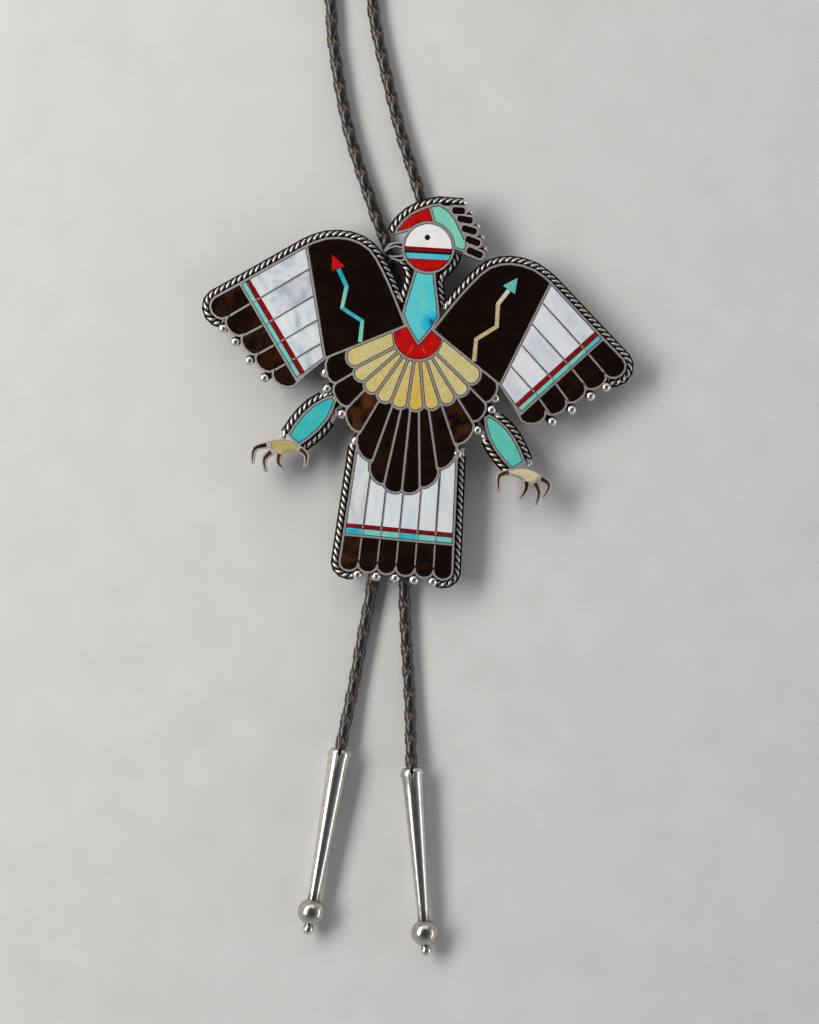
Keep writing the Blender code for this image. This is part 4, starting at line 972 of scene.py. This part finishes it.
# For the head and each bar: its stone and its tone
ARROW_STONES = {
    "left": ((bright_coral, 0.5), (arrow_turquoise, 0.0), (arrow_turquoise, 0.7), (arrow_turquoise, 0.05),
             (arrow_turquoise, 0.75)),
    "right": ((arrow_turquoise, 0.4), (arrow_shell, 0.0), (arrow_shell, 0.55), (arrow_shell, 0.75),
              (arrow_shell, 0.65)),
}
for word, side in SIDES.items():
    head = [wing_point(*place, side) for place in ARROW_HEADS[word]]
    route = [wing_point(*place, side) for place in ARROW_ZIGZAGS[word]]
    near, far = beside(route, ARROW_LINE * 0.47), beside(route, -ARROW_LINE * 0.47)
    shapes = [head] + [[near[n], near[n + 1], far[n + 1], far[n]] for n in range(4)]
    for number, (outline, (material, tone)) in enumerate(zip(shapes, ARROW_STONES[word])):
        name, slot, replaced = f"arrow_{word}_{number}", f"arrow_{word}", f"wing_arrow_{word}"
        flat_piece(name, outline, ARROW_FOOT, ARROW_TOP, material, ARROW_ARRIS, replaced, tone)
print("arrow pieces:", sum(len(stones) for stones in ARROW_STONES.values()))

# %% [markdown]
# ## The face
# The face is one round disc with stripes of shell, coral, jet and turquoise set edge to edge. The
# frame's disc is cut by straight lines into those stripes, each cut made with the bisect tool, and the
# faces take their material from the stripe they lie in. The pupil is a small round plug of jet in a
# brown ring. The collar below is three pieces of coral, with a thin pale seam on each side of the middle
# one.

# %% Face
shell_white = shell(
    "shell_white", (0.76, 0.76, 0.75), (0.84, 0.84, 0.82), (0.88, 0.87, 0.85), (1, 2, 1), 200, 0.2, 0.02
)
jet = new_material("jet", (0.008, 0.007, 0.007), 0.22)
speckled(jet, 900, (0.004, 0.004, 0.004), (0.014, 0.012, 0.011))
face_turquoise = turquoise("face_turquoise", (0.10, 0.60, 0.64), (0.03, 0.50, 0.66))
# Each seam across the face: its height at the left and at the right edge, from the top down
SEAMS = ((0.0456, 0.0468), (0.04435, 0.04565), (0.04365, 0.0449), (0.0420, 0.0434))
SEAM_REACH = 0.0066
# The two seams of the collar: a turn about the feathers' centre and a distance, for each end
COLLAR_SEAMS = (((-15.0, 0.0033), (-20.4, 0.0066)), ((28.5, 0.0034), (29.5, 0.0067)))
STRIPES = (shell_white, dark_coral, jet, face_turquoise, bright_coral)


def seam_height(seam, x):
    left, right = seam
    return left + (right - left) * (x - FACE_CENTRE.x + SEAM_REACH) / (2 * SEAM_REACH)


def striped_face():
    shape = bmesh.new()
    shape.from_mesh(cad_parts["face_disc"].data)
    bmesh.ops.remove_doubles(shape, verts=shape.verts, dist=1e-6)
    bmesh.ops.dissolve_limit(shape, angle_limit=math.radians(1), verts=shape.verts, edges=shape.edges)
    top = [e for e in shape.edges if all(v.co.z > STONE_FACE - SAME_LEVEL for v in e.verts)]
    bmesh.ops.bevel(shape, geom=top, offset=ARRIS, segments=2, affect="EDGES")
    for seam in SEAMS:
        along = Vector((2 * SEAM_REACH, seam[1] - seam[0], 0))
        across = Vector((-along.y, along.x, 0)).normalized()
        geometry = shape.verts[:] + shape.edges[:] + shape.faces[:]
        middle = (FACE_CENTRE.x, seam_height(seam, FACE_CENTRE.x), 0)
        bmesh.ops.bisect_plane(shape, geom=geometry, plane_co=middle, plane_no=across)
    for face in shape.faces:
        middle = face.calc_center_median()
        face.material_index = sum(middle.y < seam_height(seam, middle.x) for seam in SEAMS)
    mesh = mesh_from(shape, "face_stripes")
    set_tone(mesh, 0.2)
    add_piece("face_stripes", mesh, STRIPES, "face_disc")


striped_face()
PUPIL_MIDDLE, PUPIL_DEPTH = Vector((-0.0016, 0.0491)), 0.0003
# The ring and the plug in it: radius, height above the stone, material
PUPIL = (("pupil_ring", 0.00084, 0.00004, pen_shell), ("pupil", 0.00056, 0.00006, jet))
turns = np.linspace(0, 2 * math.pi, 20, endpoint=False)
for name, radius, rise, material in PUPIL:
    circle = [PUPIL_MIDDLE + radius * Vector((math.cos(turn), math.sin(turn))) for turn in turns]
    low, high = STONE_FACE - PUPIL_DEPTH, STONE_FACE + rise
    flat_piece(name, circle, low, high, material, 0.00003, tone=1.0)

SEAM_HALF = 0.00008  # half the width of a seam in the collar
collar_glue = new_material("collar_glue", (0.50, 0.10, 0.04), 0.3)
speckled(collar_glue, 2500, (0.30, 0.03, 0.015), (0.58, 0.24, 0.12), 0.35, 0.65)
for number, (inner, outer) in enumerate(COLLAR_SEAMS, 1):
    route = [fan_point(*inner), fan_point(*outer)]
    outline = beside(route, SEAM_HALF) + beside(route, -SEAM_HALF)[::-1]
    low, high = STONE_FACE - 0.0001, STONE_FACE + 0.00001
    flat_piece(f"collar_seam_{number}", outline, low, high, collar_glue, 0.000005)
print("stripes on the face:", len(STRIPES))

# %% [markdown]
# ## Beak, crest, feet and claws
# The beak, the crest's feathers and the claws are channels too, narrow ones filled with dark shell. Each
# gets a thin rim of brighter silver, rounded by its bevel, and a dark sliver along its middle. The
# foot's shell is ground flush with its silver, so its top reaches nearly to the edge.

# %% Beak, crest, feet and claws
CLAW_WIDTH, CLAW_TIP = 0.0021, 0.0010
RIM = 0.0004  # the silver left on each side of the inlay
CLAW_RIM = 0.00012  # how much wider a claw's bright rim is than the claw
CREST_ROUND = 0.38  # how far a crest feather's ends bulge, as a share of its width
CREST_RIM, CREST_INLAY = 0.00041, 0.00014  # how far they reach past the frame's stone
RIM_FOOT, RIM_TOP = WALL_TOP - 0.0008, WALL_TOP + 0.00002
INLAY_FOOT, INLAY_TOP = WALL_TOP - 0.0003, WALL_TOP + 0.00004
RIM_ARRIS, CLAW_ARRIS, INLAY_ARRIS = 0.00012, 0.00022, 0.00002
CLAWS = {
    "left": (
        ((0.43, 0.00), (0.92, -0.20), (0.94, -0.68)),
        ((0.32, -0.15), (0.575, -0.49), (0.47, -0.89)),
        ((0.12, -0.15), (0.12, -0.52), (-0.095, -0.71)),
        ((-0.40, 0.03), (-0.72, -0.16), (-0.745, -0.54)),
    ),
    "right": (
        ((0.40, 0.00), (0.80, -0.21), (0.68, -0.64)),
        ((0.28, -0.13), (0.52, -0.49), (0.49, -0.92)),
        ((0.06, -0.13), (0.105, -0.45), (-0.04, -0.80)),
        ((-0.40, 0.03), (-0.80, -0.17), (-0.745, -0.68)),
    ),
}
BEAK = {
    "upper": (
        (-1.03, 0.00), (-1.28, -0.03), (-1.50, -0.14), (-1.61, -0.30), (-1.49, -0.20), (-1.27, -0.10),
        (-1.03, -0.13),
    ),
    "lower": (
        (-0.95, -0.50), (-1.25, -0.58), (-1.44, -0.58), (-1.33, -0.62), (-1.03, -0.66), (-0.88, -0.58),
    ),
}
claw_shell = dark_shell("claw_shell", (0.020, 0.008, 0.004), (0.13, 0.045, 0.02))


def tapered(route, start, end):
    """The outline of a strip that narrows from start to end along a route."""
    near, far = [], []
    for share, (left, right) in enumerate(zip(beside(route, 1), beside(route, -1))):
        width = start + (end - start) * share / (len(route) - 1)
        here = (left + right) / 2
        near.append(here + (left - here) * width / 2)
        far.append(here + (right - here) * width / 2)
    return near + far[::-1]


def stadium(places, spare):
    """A long shape with round ends that fills the flat shape through places, and spare all round."""
    turn = long_way(places)
    along = Vector((math.sin(turn), math.cos(turn)))
    across = Vector((along.y, -along.x))
    lengths = [place.to_2d().dot(along) for place in places]
    widths = [place.to_2d().dot(across) for place in places]
    left, right = across * (min(widths) - spare), across * (max(widths) + spare)
    bend = (right - left).length * CREST_ROUND
    far, near = along * (max(lengths) + spare - bend), along * (min(lengths) - spare + bend)
    far_end = round_end(far + right, far + left, CREST_ROUND)
    return far_end + round_end(near + left, near + right, CREST_ROUND)


def add_rim(name, outline, arris=RIM_ARRIS):
    flat_piece(name, outline, RIM_FOOT, RIM_TOP, rim_silver, arris)


def add_inlay(name, outline, material, tone, replaced=None):
    flat_piece(name, outline, INLAY_FOOT, INLAY_TOP, material, INLAY_ARRIS, replaced, tone)


for number in range(1, 6):
    node = f"crest_feather_{number}"
    corners = [vert.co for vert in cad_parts[node].data.vertices]
    add_rim(f"crest_rim_{number}", stadium(corners, CREST_RIM))
    add_inlay(f"crest_inlay_{number}", stadium(corners, CREST_INLAY), pen_shell, 0.3, node)
for word, claws in CLAWS.items():
    for number, claw in enumerate(claws, 1):
        places = [(*foot_point(word, *place), 0) for place in claw]
        route = [point.to_2d() for point in smooth(places, 6)]
        rim = tapered(route, CLAW_WIDTH + CLAW_RIM, CLAW_TIP + CLAW_RIM)
        add_rim(f"claw_rim_{word}_{number}", rim, CLAW_ARRIS)
        inlay = tapered(route[2:-1], CLAW_WIDTH - 2 * RIM, CLAW_TIP - 2 * RIM)
        add_inlay(f"claw_{word}_{number}", inlay, claw_shell, 0.9)
for word, shares in BEAK.items():
    outline = [head_point(*place, FACE_RADIUS) for place in shares]
    add_rim(f"beak_rim_{word}", grown(outline, RIM * 0.7))
    add_inlay(f"beak_{word}", outline, claw_shell, 0.2)
FOOT_EDGE = (
    (0.49, 0.065), (0.255, 0.155), (0.0, 0.20), (-0.265, 0.16), (-0.56, 0.02), (-0.38, -0.06),
    (-0.15, -0.09), (0.0, -0.17), (0.125, -0.245), (0.21, -0.255), (0.34, -0.14),
)
for word, tone in (("left", 0.7), ("right", 0.1)):
    outline = grown([foot_point(word, *place) for place in FOOT_EDGE], -0.00018)
    add_inlay(f"foot_top_{word}", outline, foot_shell, tone)
print("claws, feet, crest and beak done")

# %% [markdown]
# ## The tips
# Each tip is a cone rolled from sheet silver and soldered along its length, with a ball and a bead on
# its end. It is turned: one outline, spun about its axis. The mouth is cut into four petals that fold in
# over the cord, so the points near the rim are moved along the axis by their angle. This silver is older
# than the bird's, with brown tarnish round the ball and in the mouth. The whole ball is also painted a
# little darker, which is painted dark reflection, not tarnish.

# %% Tips
TIP_LENGTH, TIP_WAIST, TIP_WALL, TIP_BALL, TIP_BEAD = 0.0499, 0.0035, 0.0006, 0.0082, 0.0034
TIP_SOCKET, TIP_FUNNEL, TIP_HOLLOW, TIP_PETAL = 0.0103, 0.0035, 0.034, 0.0015
PETALS, NOTCH_DEPTH, NOTCH_SHARE = 4, 0.0024, 0.36
# The place of each ball's middle, and the turn of the tip's axis from +Y
TIPS = {"left": ((-0.0057, -0.1570), -1.5), "right": ((0.0291, -0.1581), 13.2)}

tip_silver = new_material("tip_silver", (0.70, 0.67, 0.62), 0.22, 1.0)
tarnish_cloud = noise(tip_silver, place_in(tip_silver), 420, 5, 0.65)
long_marks = noise(tip_silver, place_in(tip_silver, (5, 0.6, 1), 6), 900, 3)
tip_stops = [(0.28, (0.46, 0.41, 0.35)), (0.42, (0.66, 0.63, 0.58)), (0.7, (0.76, 0.73, 0.69))]
tip_colour = ramp(tip_silver, tarnish_cloud, tip_stops)
# The mix towards brown is tarnish, and on the ball it is partly a painted dark reflection
tip_colour = mixed(tip_silver, own(tip_silver, "tarnish_and_dark_reflection"), tip_colour, (0.10, 0.07, 0.045))
wire_up(tip_silver, tip_colour, "Base Color")
wire_up(tip_silver, remapped(tip_silver, long_marks, 0.0, 1.0, 0.15, 0.27), "Roughness")
bump(tip_silver, long_marks, 0.00001, 0.15)


def tip_outline():
    """For each ring: its distance from the axis, its height, its tarnish and painted dark reflection, how
    far a notch pulls it down.
    """
    ball, bead, mouth = TIP_BALL / 2, TIP_BEAD / 2, TIP_MOUTH / 2
    bead_middle = -ball - bead * 0.75
    outline = []
    for step in range(11):
        angle = math.radians(-90 + 130 * step / 10)
        tarnish_and_dark_reflection = 0.6 if step > 8 else 0
        outline.append((max(bead * math.cos(angle), 0), bead_middle + bead * math.sin(angle), tarnish_and_dark_reflection, 0))
    low = -math.acos(outline[-1][0] / ball)
    high = math.acos(TIP_WAIST / 2 / ball)
    for step in range(19):
        angle = low + (high - low) * step / 18
        # The 0.8 at the ball's two joints is tarnish, and the 0.3 over the rest of the ball is painted dark
        # reflection
        tarnish_and_dark_reflection = 0.8 if step in (0, 18) else 0.3
        outline.append((ball * math.cos(angle), ball * math.sin(angle), tarnish_and_dark_reflection, 0))
    for share in (0.02, 0.06, 0.2, 0.4, 0.6, 0.75, 0.88):
        height = ball + (TIP_LENGTH - TIP_PETAL - ball) * share
        width = TIP_WAIST / 2 + (mouth - TIP_WALL / 2 - TIP_WAIST / 2) * share
        outline.append((width, height, 0.5 if share < 0.05 else 0, 0))
    socket = CORD_WIDTH / 2 + CORD_ROOM
    outline += [
        (mouth - TIP_WALL / 2, TIP_LENGTH - TIP_PETAL * 1.7, 0, 0),
        (mouth - 0.00005, TIP_LENGTH - TIP_PETAL * 0.9, 0, 0.55),
        (mouth - TIP_WALL / 2, TIP_LENGTH - TIP_PETAL * 0.3, 0.1, 0.85),
        (mouth - TIP_WALL * 1.4, TIP_LENGTH, 0.2, 1),
        (mouth - TIP_WALL * 1.9, TIP_LENGTH - 0.0001, 0.9, 1),
        (mouth - TIP_WALL * 1.6, TIP_LENGTH - TIP_PETAL * 0.9, 1, 0.6),
        (socket, TIP_LENGTH - TIP_FUNNEL, 1, 0),
        (socket, TIP_LENGTH - TIP_SOCKET, 1, 0),
        (TIP_WAIST / 2 - TIP_WALL, TIP_LENGTH - TIP_HOLLOW, 1, 0),
        (0, TIP_LENGTH - TIP_HOLLOW, 1, 0),
    ]
    return outline


def turned_tip(word, sides=72):
    outline = tip_outline()
    (x, y), turn = TIPS[word]
    angle = math.radians(turn)
    rise = (TIP_MOUTH - TIP_BALL) / 2 / TIP_LENGTH
    axis = Vector((-math.sin(angle), math.cos(angle), rise)).normalized()
    pose = axis.to_track_quat("Z", "Y").to_matrix()
    places, tarnish_and_dark_reflection = [], []
    for radius, height, dark, pulled in outline:
        for side in range(sides):
            around = 2 * math.pi * side / sides
            notch = max(0.0, 1 - abs(math.sin(around * PETALS / 2)) / NOTCH_SHARE)
            drop = NOTCH_DEPTH * pulled * notch
            place = pose @ Vector((radius * math.cos(around), radius * math.sin(around), height - drop))
            places.append(place + Vector((x, y, TIP_BALL / 2)))
            tarnish_and_dark_reflection.append(max(dark, 0.7 * notch * pulled))
    faces = []
    for ring in range(len(outline) - 1):
        for side in range(sides):
            a, b = ring * sides + side, ring * sides + (side + 1) % sides
            faces.append((a, b, b + sides, a + sides))
    name = f"tip_turned_{word}"
    mesh = mesh_of(name, places, faces)
    mesh.attributes.new("tarnish_and_dark_reflection", "FLOAT", "POINT").data.foreach_set("value", tarnish_and_dark_reflection)
    shape = bmesh.new()
    shape.from_mesh(mesh)
    bmesh.ops.remove_doubles(shape, verts=shape.verts, dist=1e-7)
    bmesh.ops.recalc_face_normals(shape, faces=shape.faces)
    shape.to_mesh(mesh)
    shape.free()
    shade(mesh, 40)
    return add_piece(name, mesh, [tip_silver], f"tip_{word}")


tips = [turned_tip(word) for word in SIDES]
print("tips:", [tip.name for tip in tips])

# %% [markdown]
# ## The silver that stays
# The bird's setting and the clip have the right shape in the frame already. They keep their solids and
# only change their material slots.

# %% Setting and clip
for node, material in (("bird_setting", channel_silver), ("slide_clip", clip_silver)):
    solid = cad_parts[node]
    for slot in solid.material_slots:
        slot.material = material
print("setting dressed")

# %% [markdown]
# ## Floor and light
# The tie lies on a plain pale floor. A long lamp on the left draws a bright line down the tips and
# lights the left of every wire and drop. A weaker one above the crown and a low one on the right soften
# the shadows. What a flat polished stone mirrors for this camera is the top of the dome, so the dome is
# dark there: the stones keep their deep colours. Towards the horizon it is bright, for the round silver
# to mirror.

# %% Floor and light
floor_material = new_material("floor_plain", (0.62, 0.61, 0.59), 0.7)
speckled(floor_material, 60, (0.60, 0.59, 0.57), (0.64, 0.63, 0.61))
bpy.ops.mesh.primitive_plane_add(size=6, location=(0, 0, 0))
floor = bpy.context.object
floor.name = "floor"
floor.data.materials.append(floor_material)
floor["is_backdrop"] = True


def lamp(name, place, size, power, colour):
    """A rectangle of light that faces the bird: its length along the floor and its height."""
    data = bpy.data.lights.new(name, "AREA")
    data.shape = "RECTANGLE"
    data.size, data.size_y = size
    data.energy = power
    data.color = colour
    light = bpy.data.objects.new(name, data)
    bpy.context.scene.collection.objects.link(light)
    light.location = place
    light.rotation_euler = (-Vector(place)).to_track_quat("-Z", "Y").to_euler()


lamp("key_lamp", (-0.95, 0.10, 0.80), (1.3, 0.40), 17, (1.0, 0.98, 0.96))
lamp("top_lamp", (-0.25, 1.1, 0.85), (1.6, 0.7), 4, (1.0, 0.99, 0.98))
lamp("fill_lamp", (1.15, -0.1, 0.38), (1.2, 0.20), 2.5, (0.94, 0.97, 1.0))

world = bpy.data.worlds.new("studio")
world.use_nodes = True
bpy.context.scene.world = world
height = add_node(world, "ShaderNodeTexCoord").outputs["Generated"]
height = add_node(world, "ShaderNodeSeparateXYZ", {"Vector": height}).outputs["Z"]
# From the horizon up to the top
DOME = [
    (0.0, (0.50, 0.51, 0.53)), (0.55, (0.32, 0.33, 0.35)),
    (0.85, (0.10, 0.10, 0.105)), (1.0, (0.055, 0.055, 0.06)),
]
background = world.node_tree.nodes["Background"]
world.node_tree.links.new(ramp(world, height, DOME), background.inputs["Color"])
bpy.context.scene.view_settings.view_transform = "Standard"
print("lamps: 3")

# %% Measure and finish
visual_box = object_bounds()
corners = [[round(value * 1000, 2) for value in corner] for corner in (*cad_box, *visual_box)]
print("boxes in mm:", corners)
